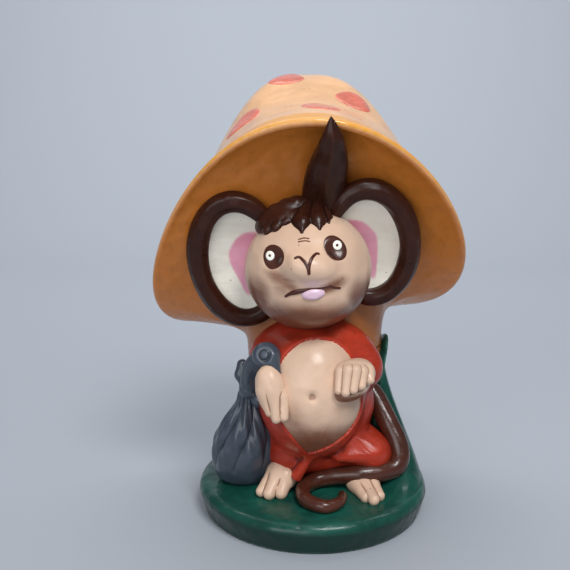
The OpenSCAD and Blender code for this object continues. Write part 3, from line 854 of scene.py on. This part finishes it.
def make_tail(thick):
    """A tube whose radius falls by a power of the distance to its tip, and ends in a point."""
    path = smooth_path(TAIL, 320)
    s = np.linspace(0.0, 1.0, 320)
    wide = thick * (1.0 - 0.62 * s**2.4)
    return tube("tail_coil", path, round_ends(path, wide, 0.7), (1, -1, 1), sides=56)


SACK_AT = np.array([-28.2, -5.5])
SACK_HEIGHTS = (12.0, 13.0, 15.0, 20.0, 26.0, 32.0, 38.0, 43.0, 47.0, 51.5)
SACK_RADII = (7.5, 10.2, 11.8, 13.4, 13.5, 12.1, 9.5, 6.8, 4.6, 3.7)


def make_sack(pleats, sides=280, rows=180):
    """An egg-shaped bag that leans towards its neck. Its radius is pleated by |sin| of the
    angle, most at the neck and not at all at the bottom."""
    z = np.linspace(DECK, SACK_HEIGHTS[-1], rows)[:, None]
    a = round_angles(sides)[None, :]
    knots = smooth_path([(r, 0.0, h) for h, r in zip(SACK_HEIGHTS, SACK_RADII)], 400)
    radius = np.interp(z, knots[:, 2], knots[:, 0])
    lean = (z - DECK) / 39.0
    fade = ease(15.0, 36.0, z)
    twist = a + 0.35 * np.sin(0.09 * z) + 0.12 * np.sin(2.0 * a)
    pleat = np.abs(np.sin(0.5 * pleats * twist + 0.4)) ** 0.7 - 0.62
    small = np.sin(17.0 * a + 0.25 * z) * 0.12
    radius = radius * (1.0 + 0.19 * fade * (pleat + small))
    x = SACK_AT[0] + 2.0 * lean + radius * np.cos(a)
    y = SACK_AT[1] - 6.0 * lean + 0.93 * radius * np.sin(a)
    rings = np.stack([x, y, z + 0.0 * a], axis=-1)
    top = (SACK_AT[0] + 2.0, SACK_AT[1] - 6.0, 52.0)
    return skin("sack_bag", (*SACK_AT, DECK), rings, top)


def knot_field(p):
    """Two balls and a creased loop."""
    balls = join(blob(p, (-26.0, -13.4, 52.4), (3.7, 3.6, 3.7)),
                 blob(p, (-22.0, -15.2, 49.2), (3.0, 3.2, 3.4)), 1.2)
    loop = joined([rod(p, (-26.6, -12.6, 54.0), (-28.9, -11.0, 58.0), 2.3, 2.5),
                   rod(p, (-28.9, -11.0, 58.0), (-28.4, -10.6, 62.0), 2.5, 2.2)], 1.0)
    crease = rod(p, (-28.6, -14.2, 55.5), (-29.2, -13.6, 62.0), 0.5, 0.4)
    return carve(join(balls, loop, 1.4), crease, 1.0)


def ruffle_field(p):
    """A boss with a pointed end and a ring-shaped groove in its face."""
    boss = blob(p, (-18.6, -25.6, 70.2), (5.3, 4.6, 5.0))
    point = rod(p, (-16.6, -27.6, 69.4), (-13.8, -31.2, 63.6), 3.2, 1.0)
    body = join(boss, point, 2.6)
    facing = unit(np.array([-0.15, -1.0, 0.25]))
    q = p - (np.array([-18.6, -25.6, 70.4]) + 4.4 * facing)
    along = q @ facing
    ring = np.hypot(np.linalg.norm(q - along[..., None] * facing, axis=-1) - 2.1, along) - 0.35
    return carve(body, ring, 1.2)


def make_strap():
    """The cloth from the knot up to the rosette, with long folds."""
    path = smooth_path([
        (-25.4, -13.4, 52.0), (-25.2, -16.2, 58.5), (-23.6, -20.2, 64.0), (-20.2, -24.0, 68.6),
    ], 70)
    s = np.linspace(0.0, 1.0, 70)
    wide = 3.5 + 0.5 * s

    def folds(phi, along):
        return 1.0 + 0.07 * (np.abs(np.sin(3.0 * phi + 1.5 * along)) - 0.6)

    return tube("sack_strap_cloth", path, wide, (0, 1, 0), wide * 0.8, sides=72, shape=folds)


# ---------------------------------------------------------------------------------------------
# Paint

def colour(code):
    """A linear colour from the usual six hex digits."""
    parts = [int(code[i:i + 2], 16) / 255.0 for i in (1, 3, 5)]
    return tuple(c / 12.92 if c <= 0.04045 else ((c + 0.055) / 1.055) ** 2.4 for c in parts)


class Val:
    """A number that a node's socket gives. Python's own signs on it add Math nodes."""

    def __init__(self, paint, socket):
        self.paint = paint
        self.socket = socket

    def maths(self, operation, a, b):
        """A Math node's result."""
        return self.paint.node("ShaderNodeMath", {"operation": operation}, {0: a, 1: b})


for sign, operation in (("add", "ADD"), ("sub", "SUBTRACT"), ("mul", "MULTIPLY")):
    setattr(Val, f"__{sign}__", lambda a, b, kind=operation: a.maths(kind, a, b))
    setattr(Val, f"__r{sign}__", lambda a, b, kind=operation: a.maths(kind, b, a))


class Paint:
    """One material's nodes. node() adds any of them, and the rest are short ways to the usual."""

    def __init__(self, name):
        self.material = bpy.data.materials.new(name)
        self.material.use_nodes = True
        self.tree = self.material.node_tree
        self.tree.nodes.clear()
        self.place = self.node("ShaderNodeTexCoord", output="Object")

    def node(self, kind, settings=None, sockets=None, output=0):
        """Adds a node: its settings first, then its sockets' values or links."""
        made = self.tree.nodes.new(kind)
        for setting, value in (settings or {}).items():
            setattr(made, setting, value)
        for key, value in (sockets or {}).items():
            if isinstance(value, Val):
                self.tree.links.new(value.socket, made.inputs[key])
            else:
                made.inputs[key].default_value = value
        return Val(self, made.outputs[output]) if made.outputs else None

    def mark(self, name):
        """An attribute that the piece's mesh carries, and 0 where it carries none."""
        return self.node("ShaderNodeAttribute", {"attribute_name": name}, output="Fac")

    def stretched(self, scale):
        """The place scaled by a factor along each axis."""
        return self.node("ShaderNodeMapping", None, {"Vector": self.place, "Scale": scale})

    def noise(self, scale, detail=2.0, rough=0.5, place=None, twist=0.0):
        """Cloudy noise from about 0 to 1, with scale clouds to the metre."""
        return self.node("ShaderNodeTexNoise", {"noise_dimensions": "3D"}, {
            "Vector": place or self.place, "Scale": scale, "Detail": detail,
            "Roughness": rough, "Distortion": twist,
        })

    def dots(self, scale, size, soft=0.5):
        """1 at the middle of scattered dots, scale of them to the metre, and 0 past size."""
        far = self.node("ShaderNodeTexVoronoi", {"feature": "F1"},
                        {"Vector": self.place, "Scale": scale, "Randomness": 1.0}, "Distance")
        return self.spread(far, size, size * soft)

    def spread(self, value, low, high, least=0.0, most=1.0):
        """least up to low and most from high on, with a smooth S between."""
        return self.node("ShaderNodeMapRange", {"interpolation_type": "SMOOTHSTEP"}, {
            "Value": value, "From Min": low, "From Max": high, "To Min": least, "To Max": most,
        })

    def blend(self, under, over, amount):
        """One colour over another by an amount."""
        ends = [c if isinstance(c, Val) else (*c, 1.0) for c in (under, over)]
        return self.node("ShaderNodeMix", {"data_type": "RGBA", "clamp_factor": True},
                         {0: amount, 6: ends[0], 7: ends[1]}, 2)

    def finish(self, base, roughness, bumps, coat=0.3, coat_roughness=0.05, specular=0.25):
        """Ends in a coated surface. bumps are pairs of a height and its depth in metres."""
        normal = None
        for height, depth in bumps:
            sockets = {"Height": height, "Distance": depth, "Strength": 1.0}
            if normal is not None:
                sockets["Normal"] = normal
            normal = self.node("ShaderNodeBump", None, sockets)
        surface = self.node("ShaderNodeBsdfPrincipled", None, {
            "Base Color": base, "Roughness": roughness, "Normal": normal, "Specular IOR Level": specular,
            "Coat Weight": coat, "Coat Roughness": coat_roughness,
        })
        self.node("ShaderNodeOutputMaterial", None, {"Surface": surface})
        return self.material


def scaled(c, by):
    """A colour made paler or darker."""
    return tuple(min(1.0, channel * by) for channel in c)


def glaze(name, base, look, wash=None, worn=None, tone=0.10, streak=None, extra=None,
          rough_mean=0.32, wash_gain=1.0, specks=1.0, waves=1.0, gloss=1.0):
    """Hand-painted colour under clear glaze. The paint is cloudy and brushed, is darkened by painted shade in
    the hollows by the hollow mark and over the shade mark, wears pale on ridges, and carries small fired
    specks.
    Its surface has slow waves, brush lines and pinholes."""
    wash = wash or scaled(base, 0.35)
    worn = worn or scaled(base, 1.5)
    paint = Paint(name)
    cloud = paint.noise(70.0, 3.0)
    fine = paint.noise(420.0, 3.0, 0.6)
    place = paint.stretched(streak or (90.0, 90.0, 900.0))
    brushed = paint.noise(1.0, 4.0, 0.65, place, 0.4)
    pale = paint.spread(cloud * 0.6 + brushed * 0.4, 0.36, 0.64)
    body = paint.blend(scaled(base, 1.0 - tone), scaled(base, 1.0 + tone), pale)
    if extra:
        body = extra(paint, body)
    # Painted shade: the paint runs darker into the hollows and wherever the shade mark lies.
    hollow = paint.mark("hollow") * (0.75 * wash_gain)
    shade = paint.mark("shade") * (0.45 + 1.0 * brushed)
    painted_shading = paint.spread(hollow + shade + (cloud - 0.5) * 0.25, 0.08, 0.85)
    body = paint.blend(body, wash, painted_shading * look.wash)
    rubbed = paint.mark("ridge") * paint.spread(fine * 0.5 + cloud * 0.5, 0.40, 0.60)
    body = paint.blend(body, worn, rubbed * look.wear)
    dots = paint.dots(190.0, 0.075) * paint.spread(paint.noise(55.0, 1.0), 0.52, 0.60)
    body = paint.blend(body, scaled(wash, 0.5), dots * (look.specks * specks))
    pinholes = paint.dots(330.0, 0.10)
    rough = paint.spread(fine * 0.6 + cloud * 0.4, 0.3, 0.7, rough_mean - 0.06, rough_mean + 0.10)
    slow = paint.noise(130.0, 1.0)
    return paint.finish(body, rough, (
        (slow, 0.0009 * waves), (brushed, 0.00012 * waves), (fine, 0.00005), (1.0 - pinholes, 0.00008),
    ), look.coat * gloss, look.coat_roughness / gloss, 0.3 * gloss)


# ---------------------------------------------------------------------------------------------
# What a user would change

def tint(label, about, code):
    """A colour property."""
    return bpy.props.FloatVectorProperty(name=label, description=about, subtype="COLOR", size=3,
                                         min=0.0, max=1.0, default=colour(code))


def share(label, about, value):
    """A property from 0 to 1."""
    return bpy.props.FloatProperty(name=label, description=about, subtype="FACTOR",
                                   min=0.0, max=1.0, default=value)


def length(label, about, millimetres):
    """A length property, with its default in millimetres."""
    return bpy.props.FloatProperty(name=label, description=about, unit="LENGTH", subtype="DISTANCE",
                                   min=0.0, default=millimetres * MM)


class FIGURINE_PG_colours(bpy.types.PropertyGroup):
    grass: tint("Grass", "Glaze of the plinth and the bank", "#124A3F")
    stalk: tint("Stalk", "Glaze of the mushroom's stalk", "#B9652A")
    crown: tint("Crown", "Glaze of the cap's top", "#DFAE80")
    band: tint("Band", "Glaze of the cap's rolled edge", "#DD9A38")
    gills: tint("Underside", "Glaze under the cap", "#D27D31")
    spots: tint("Spots", "Glaze of the raised spots and the mouth", "#D4705A")
    robe: tint("Robe", "Glaze of the robe", "#AC3521")
    skin: tint("Skin", "Glaze of the face, belly, hands and feet", "#DEBDA4")
    # The brown of the painted shade on the skin, in its hollows and under the muzzle, chin and belly, partly
    # real brushed brown; the brow lines are painted in it too.
    skin_shade_brown: tint("Skin wash", "Brown brushed into the skin's hollows", "#74422C")
    ears: tint("Ears", "Glaze of the ears", "#FBF6E8")
    pink: tint("Pink", "Pink sprayed into the ears", "#EFA0BC")
    hair: tint("Hair", "Glaze of the fringe and the rolls", "#34180F")
    tail: tint("Tail", "Glaze of the tail", "#4A261B")
    sack: tint("Sack", "Glaze of the sack", "#414955")
    lip: tint("Lip", "Glaze of the lower lip", "#E6C3D6")
    line: tint("Line", "Paint of the nose and mouth lines and the pupils", "#45190E")


TINTS = tuple(FIGURINE_PG_colours.__annotations__)


class FIGURINE_PG_sizes(bpy.types.PropertyGroup):
    spot: length("Spot radius", "Radius of a spot on the cap", 7.0)
    spot_rise: length("Spot rise", "How far a spot stands off the cap", 0.45)
    tail: length("Tail radius", "Radius of the tail where it is thickest", 4.2)
    roll: length("Hair roll radius", "Radius of a hair roll where it is thickest", 4.2)
    line: length("Line width", "Width of the painted lines of the face", 1.15)
    pleats: bpy.props.IntProperty(name="Sack pleats", description="Number of pleats at the sack's neck",
                                  min=3, max=16, default=9)


class FIGURINE_PG_glaze(bpy.types.PropertyGroup):
    # How much painted shade lies in the hollows and over the shade marks.
    wash: share("Wash", "How much dark paint lies in the hollows", 0.95)
    wear: share("Wear", "How much paler the ridges are", 0.5)
    specks: share("Specks", "How dark the fired specks are", 0.7)
    coat: share("Clear glaze", "Weight of the clear glaze over the paint", 0.4)
    coat_roughness: share("Glaze roughness", "Roughness of the clear glaze", 0.12)


class FIGURINE_PG_stage(bpy.types.PropertyGroup):
    floor: tint("Floor", "Colour of the floor and the backdrop", "#A8AEB7")
    camera_at: bpy.props.FloatVectorProperty(
        name="Camera", description="Where the camera stands", subtype="XYZ_LENGTH", unit="LENGTH", size=3,
        default=(-0.0115, -0.2967, 0.1482))
    camera_down: bpy.props.FloatProperty(
        name="Camera tilt", description="How far the camera looks down", subtype="ANGLE", unit="ROTATION",
        default=math.radians(10.71))
    lens: bpy.props.FloatProperty(name="Lens", description="Focal length on a 36 mm wide picture",
                                  subtype="DISTANCE_CAMERA", default=750.0 / 570.0 * 36.0)
    key: bpy.props.FloatProperty(name="Key light", description="Power of the main soft light",
                                 subtype="POWER", unit="POWER", default=2.95)


# ---------------------------------------------------------------------------------------------
# Operators

class Piece:
    """What the operators share: the scene's settings, and the paints made from them. Each operator
    adds its pieces in build()."""

    bl_options = {"REGISTER", "UNDO"}

    def execute(self, context):
        scene = context.scene
        tints = scene.figurine_colours
        self.colours = SimpleNamespace(**{name: tuple(getattr(tints, name)) for name in TINTS})
        self.sizes = scene.figurine_sizes
        self.look = scene.figurine_glaze
        self.stage = scene.figurine_stage
        self.build()
        return {"FINISHED"}

    def glaze(self, name, base, **kept):
        """A glaze with the scene's settings."""
        return glaze(name, base, self.look, **kept)

    def skin_paint(self, name, **kept):
        """The skin's glaze, patchy and pink by its mark."""
        skin_tint = self.colours.skin

        def blush(paint, body):
            patchy = paint.spread(paint.noise(48.0, 2.0), 0.42, 0.62) * 0.35
            body = paint.blend(body, scaled(skin_tint, 0.8), patchy)
            return paint.blend(body, self.colours.lip, paint.mark("pink") * 0.5)

        return self.glaze(name, skin_tint, wash=self.colours.skin_shade_brown, extra=blush, tone=0.05,
                          worn=scaled(skin_tint, 1.15), streak=(70.0, 70.0, 100.0), gloss=0.6, **kept)


class FIGURINE_OT_base(bpy.types.Operator, Piece):
    """Round plinth that sweeps up into the grass bank behind the creature"""

    bl_idname = "figurine.base"
    bl_label = "Plinth and bank"

    def build(self):
        green = self.colours.grass
        paint = self.glaze("green_glaze", green, tone=0.3, worn=(0.10, 0.28, 0.21),
                      wash=scaled(green, 0.4), streak=(160.0, 160.0, 60.0), waves=1.6, gloss=0.75)
        finish_piece(make_base(), paint, "green_glaze", "plinth", "grass_bank")


class FIGURINE_OT_stalk(bpy.types.Operator, Piece):
    """The mushroom's waisted stalk"""

    bl_idname = "figurine.stalk"
    bl_label = "Stalk"

    def build(self):
        paint = self.glaze("stalk_glaze", self.colours.stalk, tone=0.18,
                      streak=(420.0, 420.0, 40.0))
        finish_piece(make_stalk(), paint, "orange_glaze", "stalk")


class FIGURINE_OT_cap(bpy.types.Operator, Piece):
    """The mushroom's cap, with its rolled edge and its underside"""

    bl_idname = "figurine.cap"
    bl_label = "Cap"

    def build(self):
        crown, gills, band = self.colours.crown, self.colours.gills, self.colours.band

        def zones(paint, body):
            soft = paint.noise(60.0, 2.0)
            band_mark = paint.spread(paint.mark("band") + (soft - 0.5) * 0.3, 0.3, 0.75)
            body = paint.blend(body, band, band_mark)
            # Painted shade: the underside is darker towards the neck, by the deep mark.
            under = paint.blend(gills, scaled(gills, 0.6), paint.spread(paint.mark("deep"), 0.1, 0.9))
            lines = paint.noise(1.0, 3.0, 0.6, paint.stretched((260.0, 260.0, 60.0)))
            under = paint.blend(under, scaled(gills, 0.6), paint.spread(lines, 0.5, 0.62) * 0.2)
            return paint.blend(body, under, paint.mark("below") * (1.0 - band_mark))

        paint = self.glaze("cap_glaze", crown, tone=0.07, extra=zones, streak=(60.0, 60.0, 260.0),
                      wash=scaled(band, 0.8), worn=scaled(crown, 1.1), wash_gain=0.4)
        finish_piece(make_cap(), paint, "orange_glaze", "cap")


class FIGURINE_OT_spots(bpy.types.Operator, Piece):
    """The raised coral spots on the cap"""

    bl_idname = "figurine.spots"
    bl_label = "Spots"

    def build(self):
        paint = self.glaze("coral_glaze", self.colours.spots, tone=0.15, rough_mean=0.24)
        rise = self.sizes.spot_rise / MM
        radius = self.sizes.spot / MM
        for number, (angle, height) in enumerate(SPOTS):
            spot = make_spot(number, angle, height, radius, rise)
            finish_piece(spot, paint, "coral_glaze", "crown_spots")


class FIGURINE_OT_robe(bpy.types.Operator, Piece):
    """The robe, open over the belly, with its sleeve, knee and hem"""

    bl_idname = "figurine.robe"
    bl_label = "Robe"

    def build(self):
        red = self.colours.robe
        paint = self.glaze("red_glaze", red, tone=0.2, wash=scaled(red, 0.3),
                      worn=scaled(red, 1.15), streak=(110.0, 110.0, 420.0), rough_mean=0.34, gloss=0.7)
        finish_piece(make_robe(), paint, "red_glaze", "robe")


class FIGURINE_OT_belly(bpy.types.Operator, Piece):
    """The bare belly, with its navel"""

    bl_idname = "figurine.belly"
    bl_label = "Belly"

    def build(self):
        finish_piece(make_belly(), self.skin_paint("belly_glaze", wash_gain=0.6), "skin_glaze", "belly")


class FIGURINE_OT_head(bpy.types.Operator, Piece):
    """The head, with its muzzle, lips and eye hollows"""

    bl_idname = "figurine.head"
    bl_label = "Head"

    def build(self):
        finish_piece(make_head(), self.skin_paint("face_glaze", wash_gain=0.8), "skin_glaze", "head")


class FIGURINE_OT_eyes(bpy.types.Operator, Piece):
    """The dark eye patches, the pale rings and the pupils"""

    bl_idname = "figurine.eyes"
    bl_label = "Eyes"

    def build(self):
        dark = self.glaze("eye_patch_glaze", self.colours.tail, tone=0.2, specks=0.0)
        pale = self.glaze("eye_ring_glaze", self.colours.ears, specks=0.3)
        black = self.glaze("pupil_glaze", self.colours.line, specks=0.0)
        eyes = (
            ("left", 6.4, 111.6, 3.5, 4.9, 44.0, 7.0, 112.3, 0.0),
            ("right", -15.7, 108.2, 3.7, 4.3, -18.0, -16.6, 108.5, 0.12),
        )
        for side, x, z, wide, tall, lean, ex, ez, egg in eyes:
            patch_piece = make_eye_patch(f"{side}_eye_surround", x, z, wide, tall, lean, egg=egg)
            finish_piece(patch_piece, dark, "brown_glaze", f"{side}_eye_patch")
            ring = make_eye_patch(f"{side}_eye_ring", ex, ez, 1.6, 1.75, lean, lift=0.3, rest=0.5)
            finish_piece(ring, pale, "cream_glaze", f"{side}_eyeball")
            pupil = make_eye_patch(f"{side}_pupil", ex - 0.1, ez, 0.55, 0.58, 0.0, lift=0.2, rest=0.72)
            finish_piece(pupil, black, "brown_glaze", f"{side}_eyeball")


class FIGURINE_OT_face_lines(bpy.types.Operator, Piece):
    """The painted nose, mouth and brow lines and the lower lip"""

    bl_idname = "figurine.face_lines"
    bl_label = "Face lines and lip"

    def build(self):
        half = self.sizes.line / MM / 2.0
        brown = self.glaze("line_glaze", self.colours.line, specks=0.0)
        faint = self.glaze("brow_glaze", self.colours.skin_shade_brown, specks=0.0)
        pink = self.glaze("lip_glaze", self.colours.lip, tone=0.05, specks=0.4)
        right = make_face_line("nose_stroke_right", NOSE_RIGHT, half, 0.35)
        left = make_face_line("nose_stroke_left", NOSE_LEFT, half, 0.35)
        for stroke in (right, left):
            finish_piece(stroke, brown, "brown_glaze", "nose_line")
        mouth = make_face_line("mouth_stroke", MOUTH, half, 0.3, 110, swell=(0.26, 0.9))
        finish_piece(mouth, brown, "brown_glaze", "mouth_line")
        for number, points in enumerate(BROW_LINES):
            brow = make_face_line(f"brow_stroke_{number}", points, half * 0.5, 0.14)
            finish_piece(brow, faint, "brown_glaze", "nose_line")
        lip = make_eye_patch("lower_lip_pad", -1.5, 95.9, 4.2, 2.1, 6.0, lift=1.3)
        finish_piece(lip, pink, "lip_glaze", "lower_lip")


class FIGURINE_OT_ears(bpy.types.Operator, Piece):
    """The two bowl-shaped ears with pink inside"""

    bl_idname = "figurine.ears"
    bl_label = "Ears"

    def build(self):
        cream, pink = self.colours.ears, self.colours.pink

        def blush(paint, body):
            misty = paint.noise(260.0, 4.0, 0.7)
            amount = paint.spread(paint.mark("pink") + (misty - 0.5) * 0.45, 0.2, 0.8)
            body = paint.blend(body, pink, amount * 0.92)
            rose = (pink[0] * 0.8, pink[1] * 0.55, pink[2] * 0.6)
            return paint.blend(body, rose, paint.mark("deep") * amount * 0.6)

        paint = self.glaze("cream_glaze", cream, tone=0.05, extra=blush, wash=scaled(cream, 0.55),
                      worn=scaled(cream, 1.1), specks=1.2, wash_gain=0.3)
        left = make_ear("left_ear_bowl", LEFT_EAR_AT, (-4.0, -2.6), (9.4, 14.4), 22.0)
        right = make_ear("right_ear_bowl", RIGHT_EAR_AT, (4.0, -2.6), (9.6, 13.0), -14.0, 1.09)
        finish_piece(left, paint, "cream_glaze", "left_ear")
        finish_piece(right, paint, "cream_glaze", "right_ear")


class FIGURINE_OT_hair(bpy.types.Operator, Piece):
    """The hair: a roll round each ear, the fringe of locks and the topknot"""

    bl_idname = "figurine.hair"
    bl_label = "Hair"

    def build(self):
        brown = self.colours.hair
        paint = self.glaze("hair_glaze", brown, tone=0.2, worn=scaled(brown, 2.0), rough_mean=0.30,
                      wash=scaled(brown, 0.4), streak=(520.0, 520.0, 110.0), specks=0.3, waves=1.3, gloss=0.5)
        roll = self.sizes.roll / MM
        left = make_hair_roll("left_roll", LEFT_EAR_AT, 166.0, -112.0, roll)
        right = make_hair_roll("right_roll", RIGHT_EAR_AT, 14.0, 302.0, roll, 1.09)
        finish_piece(left, paint, "brown_glaze", "left_hair_roll")
        finish_piece(right, paint, "brown_glaze", "right_hair_roll")
        finish_piece(make_fringe(), paint, "brown_glaze", "fringe")
        finish_piece(make_topknot(), paint, "brown_glaze", "topknot")


class FIGURINE_OT_hands(bpy.types.Operator, Piece):
    """The two hands, one hanging over the belly and one closed"""

    bl_idname = "figurine.hands"
    bl_label = "Hands"

    def build(self):
        paint = self.skin_paint("hand_glaze", wash_gain=0.75)
        right = solid("right_hand_skin", RIGHT_HAND, (-16.8, -31.0, 58.0), 22.0, 110, 150)

        # Painted shade under the heel of the left hand.
        def palm(rings):
            return {"shade": 0.9 * ease(60.5, 56.5, rings[..., 2]) * ease(-37.4, -35.4, rings[..., 1])}

        left = solid("left_hand_skin", LEFT_HAND, (13.6, -31.2, 62.6), 24.0, 130, 170, mark=palm)
        finish_piece(right, paint, "skin_glaze", "right_hand")
        finish_piece(left, paint, "skin_glaze", "left_hand")


class FIGURINE_OT_feet(bpy.types.Operator, Piece):
    """The two feet, flat on the plinth"""

    bl_idname = "figurine.feet"
    bl_label = "Feet"

    def build(self):
        paint = self.skin_paint("foot_glaze", wash_gain=0.75)
        right = solid("right_foot_skin", standing(RIGHT_FOOT), (-14.5, -18.5, 17.0), 24.0, 110, 150)
        left = solid("left_foot_skin", standing(LEFT_FOOT), (22.0, -19.5, 15.8), 24.0, 110, 150)
        finish_piece(right, paint, "skin_glaze", "right_foot")
        finish_piece(left, paint, "skin_glaze", "left_foot")


class FIGURINE_OT_tail(bpy.types.Operator, Piece):
    """The tail, down past the knee and curled in front"""

    bl_idname = "figurine.tail"
    bl_label = "Tail"

    def build(self):
        brown = self.colours.tail
        paint = self.glaze("tail_glaze", brown, tone=0.2, worn=scaled(brown, 2.0),
                           rough_mean=0.26, specks=0.3)
        finish_piece(make_tail(self.sizes.tail / MM), paint, "brown_glaze", "tail")


class FIGURINE_OT_sack(bpy.types.Operator, Piece):
    """The pleated sack, with its knot, strap and rosette"""

    bl_idname = "figurine.sack"
    bl_label = "Sack"

    def build(self):
        slate = self.colours.sack
        paint = self.glaze("slate_glaze", slate, tone=0.16, wash=scaled(slate, 0.35),
                      worn=scaled(slate, 1.9), streak=(160.0, 160.0, 300.0), specks=0.4)
        finish_piece(make_sack(self.sizes.pleats), paint, "slate_glaze", "sack")
        knot = solid("sack_knot_balls", knot_field, (-25.2, -13.6, 52.6), 22.0, 120, 150)
        finish_piece(knot, paint, "slate_glaze", "sack_knot")
        finish_piece(make_strap(), paint, "slate_glaze", "sack_strap")
        ruffle = solid("sack_rosette", ruffle_field, (-18.4, -25.8, 70.6), 18.0, 120, 150)
        finish_piece(ruffle, paint, "slate_glaze", "sack_ruffle")


# Each light: where it stands, what it faces, its width and height, its part of the key's power.
LIGHTS = (
    ("key_softbox", (0.15, -0.40, 0.60), (0.0, -0.02, 0.08), (0.26, 0.20), 1.0),
    ("fill_softbox", (-0.30, -0.70, 0.30), (0.0, 0.0, 0.09), (0.50, 0.40), 0.6),
    ("top_softbox", (-0.10, 0.06, 0.80), (0.0, 0.0, 0.08), (0.50, 0.50), 0.3),
    ("backdrop_softbox", (0.0, 0.35, 1.0), (0.0, 1.1, 0.42), (1.6, 0.30), 4.2),
)


class FIGURINE_OT_stage(bpy.types.Operator, Piece):
    """Pale floor that sweeps up into a backdrop, soft studio lights, and the camera"""

    bl_idname = "figurine.stage"
    bl_label = "Stage"

    def build(self):
        stage = self.stage
        make_floor(tuple(stage.floor))
        for name, at, towards, size, part in LIGHTS:
            add_light(name, at, towards, size, stage.key * part)
        lens = bpy.data.cameras.new("studio_camera")
        lens.sensor_width = 36.0
        lens.lens = stage.lens
        lens.clip_start = 0.01
        camera = placed("studio_camera", lens)
        scene = bpy.context.scene
        camera.location = stage.camera_at
        camera.rotation_euler = (math.radians(90.0) - stage.camera_down, 0.0, 0.0)
        scene.camera = camera
        world = bpy.data.worlds.new("studio_air")
        world.use_nodes = True
        air = world.node_tree.nodes["Background"]
        air.inputs["Color"].default_value = (0.90, 0.95, 1.0, 1.0)
        air.inputs["Strength"].default_value = 0.24
        scene.world = world
        scene.view_settings.view_transform = "Standard"


def make_floor(tone):
    """A sheet carried sideways along a profile: flat, then a quarter circle, then straight up."""
    cove, far, tall, wide = 0.5, 1.1, 2.2, 5.0
    turn = np.linspace(0.0, np.pi / 2.0, 24)
    y = np.concatenate([[-6.0, 0.0, far - cove], far - cove + cove * np.sin(turn), [far]])
    z = np.concatenate([[0.0, 0.0, 0.0], cove * (1.0 - np.cos(turn)), [tall]])
    x = np.linspace(-wide, wide, 9)
    grid = np.stack(np.broadcast_arrays(x[None, :], y[:, None], z[:, None]), axis=-1)
    i = np.arange(len(y) - 1)[:, None] * len(x)
    j = np.arange(len(x) - 1)[None, :]
    quads = np.stack([i + j, i + j + 1, i + j + 1 + len(x), i + j + len(x)], axis=-1).reshape(-1, 4)
    mesh = bpy.data.meshes.new("studio_floor")
    mesh.from_pydata(grid.reshape(-1, 3).tolist(), [], quads.tolist())
    floor = placed("studio_floor", mesh)
    paint = Paint("studio_paper")
    grain = paint.noise(900.0, 2.0)
    body = paint.blend(scaled(tone, 0.985), scaled(tone, 1.015), grain)
    mesh.materials.append(paint.finish(body, 0.75, ((grain, 0.00004),), 0.0))


def add_light(name, at, towards, size, power):
    """A soft rectangle of light that faces a point."""
    light = bpy.data.lights.new(name, "AREA")
    light.shape = "RECTANGLE"
    light.size, light.size_y = size
    light.energy = power
    lamp = placed(name, light)
    lamp.location = at
    way = Vector(towards) - Vector(at)
    lamp.rotation_euler = way.to_track_quat("-Z", "Y").to_euler()


class FIGURINE_PT_panel(bpy.types.Panel):
    """Sizes, colours and the operators, in the sidebar"""

    bl_idname = "FIGURINE_PT_panel"
    bl_label = "Figurine"
    bl_space_type = "VIEW_3D"
    bl_region_type = "UI"
    bl_category = "Figurine"

    def draw(self, context):
        for group in GROUPS:
            box = self.layout.box()
            held = getattr(context.scene, group)
            for name in held.bl_rna.properties.keys():
                if name not in ("rna_type", "name"):
                    box.prop(held, name)
        for operator in OPERATORS:
            self.layout.operator(operator.bl_idname)


GROUPS = {
    "figurine_colours": FIGURINE_PG_colours,
    "figurine_sizes": FIGURINE_PG_sizes,
    "figurine_glaze": FIGURINE_PG_glaze,
    "figurine_stage": FIGURINE_PG_stage,
}
OPERATORS = (
    FIGURINE_OT_base, FIGURINE_OT_stalk, FIGURINE_OT_cap, FIGURINE_OT_spots, FIGURINE_OT_robe,
    FIGURINE_OT_belly, FIGURINE_OT_head, FIGURINE_OT_eyes, FIGURINE_OT_face_lines, FIGURINE_OT_ears,
    FIGURINE_OT_hair, FIGURINE_OT_hands, FIGURINE_OT_feet, FIGURINE_OT_tail, FIGURINE_OT_sack,
    FIGURINE_OT_stage,
)
CLASSES = (*GROUPS.values(), *OPERATORS, FIGURINE_PT_panel)


def register():
    """Adds the classes, and the settings to the scene."""
    for cls in CLASSES:
        bpy.utils.register_class(cls)
    for name, group in GROUPS.items():
        setattr(bpy.types.Scene, name, bpy.props.PointerProperty(type=group))


def unregister():
    """Takes away what register() adds."""
    for name in GROUPS:
        delattr(bpy.types.Scene, name)
    for cls in reversed(CLASSES):
        bpy.utils.unregister_class(cls)


def main():
    """Builds every piece with the default settings."""
    register()
    for operator in OPERATORS:
        family, name = operator.bl_idname.split(".")
        getattr(getattr(bpy.ops, family), name)()
    bpy.context.view_layer.update()


if __name__ == "__main__":
    main()
